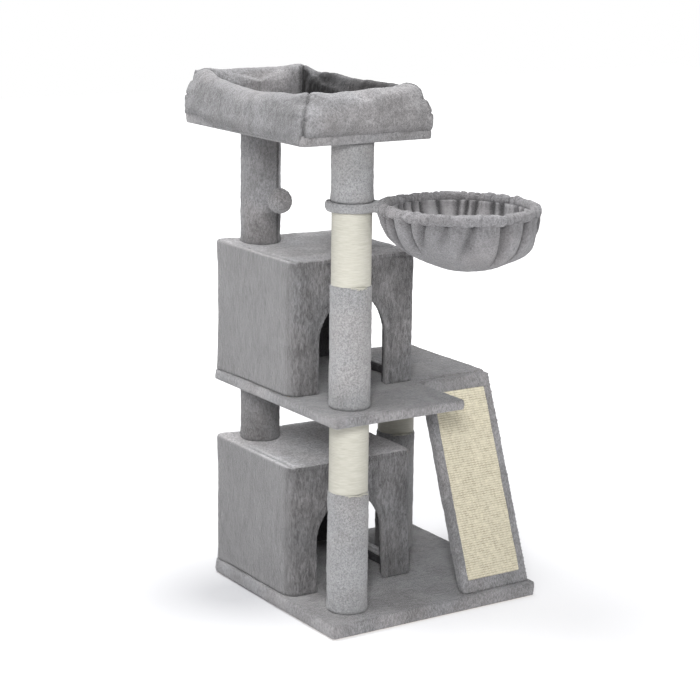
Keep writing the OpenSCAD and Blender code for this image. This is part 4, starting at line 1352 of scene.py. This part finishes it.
def collar():
    """Padded disc round the stud between two post sections, and the neck that joins it to the ring."""
    sides, a = 96, circle(96)
    half_loop = [(0.006, 0.0074), (0.0415, 0.0074), (0.0440, 0.0088), (0.0465, 0.0090), (0.0495, 0.0072),
                 (0.0508, 0.0030)]
    loop = [(r, -z) for r, z in half_loop] + half_loop[::-1]
    pts = np.array([[(r * math.cos(t), r * math.sin(t), z) for t in a] for r, z in loop]).reshape(-1, 3)
    disc = (from_hammock(pts), grid_quads(len(loop), sides, True, True))
    # the neck: fabric that spreads from the collar over the nearest part of the ring
    neck = []
    for x, half, up, down in NECK:
        arch = np.sign(np.cos(a)) * np.abs(np.cos(a)) ** 0.7
        high = np.where(np.sin(a) > 0, up, down) * np.sin(a)
        neck.append(np.stack([np.full(sides, x), half * arch, high], -1))
    faces = grid_quads(len(NECK), sides, wrap_cols=True)
    faces += [tuple(range(sides - 1, -1, -1)), tuple((len(NECK) - 1) * sides + k for k in range(sides))]
    neck = (from_hammock(np.concatenate(neck)), faces)
    obj = soften("hammock_collar", [disc, neck], 0.0018, 4)

    def field(co, no):
        dx, dy, dz = (co - HAM_ORIGIN).T
        a = np.arctan2(dy, dx)
        edge = step(np.hypot(dx, dy), 0.043, 0.050)
        ring = np.stack([np.cos(a) * 0.05, np.sin(a) * 0.05, dz * 0.5], -1)
        gathers = np.sin(a * 21 + 3.5 * noise(ring, 0.03, 191) + 20 * dz)
        h = edge * (pile(co, 192, 0.34, 0.45) + 0.00025 * gathers + 0.0012 * noise(co, 0.02, 195))
        # folds that fan out from the collar across the neck
        c, s = math.cos(HAM_TURN), math.sin(HAM_TURN)
        ahead, across = dx * c + dy * s, dy * c - dx * s
        fan = across / np.maximum(ahead, 0.02)
        on_neck = step(ahead, 0.048, 0.056)
        h += on_neck * 0.0020 * np.sin(fan * 26 + 2.5 * noise(co, 0.03, 196))
        return h - on_neck * 0.0035 * bump(fan, -0.16, 0.07) * (no[:, 2] > 0.2)

    relief(obj, field)
    finish_piece(obj, "hammock_collar_cover", "lit_post_plush", "hammock")


collar()


# ---- toy ----


def plush_ball():
    lo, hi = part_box("toy_ball")
    centre = np.array((lo + hi) / 2)
    r = (hi.x - lo.x) / 2
    mesh = bpy.data.meshes.new("toy_plush_ball")
    with editing(mesh) as bm:
        bmesh.ops.create_icosphere(bm, subdivisions=6, radius=r - 0.001)
    set_points(mesh, get_points(mesh) + centre)
    obj = make_object("toy_plush_ball", mesh)

    def field(co, no):
        d = (co - centre) / r
        seam = bump(d[:, 0] * 0.8 + d[:, 1] * 0.6, 0, 0.035)
        h = MM * (0.9 * noise(co, 0.0042, 201) + 0.6 * noise(co, 0.009, 202) + 0.5 * noise(co, 0.02, 203))
        return h - 0.0008 * seam

    relief(obj, field)
    return finish_piece(obj, "toy_ball", "ball_plush", "toy")


ball = plush_ball()


CORD_TOP, CORD_END_Z = (-0.219, 0.017, 0.931), 0.836


def toy_cord():
    """The string that the ball hangs on, from the loop's eye into the ball."""
    x, y, top = CORD_TOP
    z = np.linspace(top, CORD_END_Z, 20)
    data = bpy.data.curves.new("toy_cord", "CURVE")
    data.dimensions = "3D"
    data.bevel_depth, data.bevel_resolution = 0.0009, 3
    spline = data.splines.new("POLY")
    spline.points.add(len(z) - 1)
    for point, h in zip(spline.points, z):
        point.co = (x, y, h, 1)
    obj = bpy.data.objects.new("toy_cord", data)
    SCENE.collection.objects.link(obj)
    finish_piece(obj, "toy_string", "string", "toy")


toy_cord()
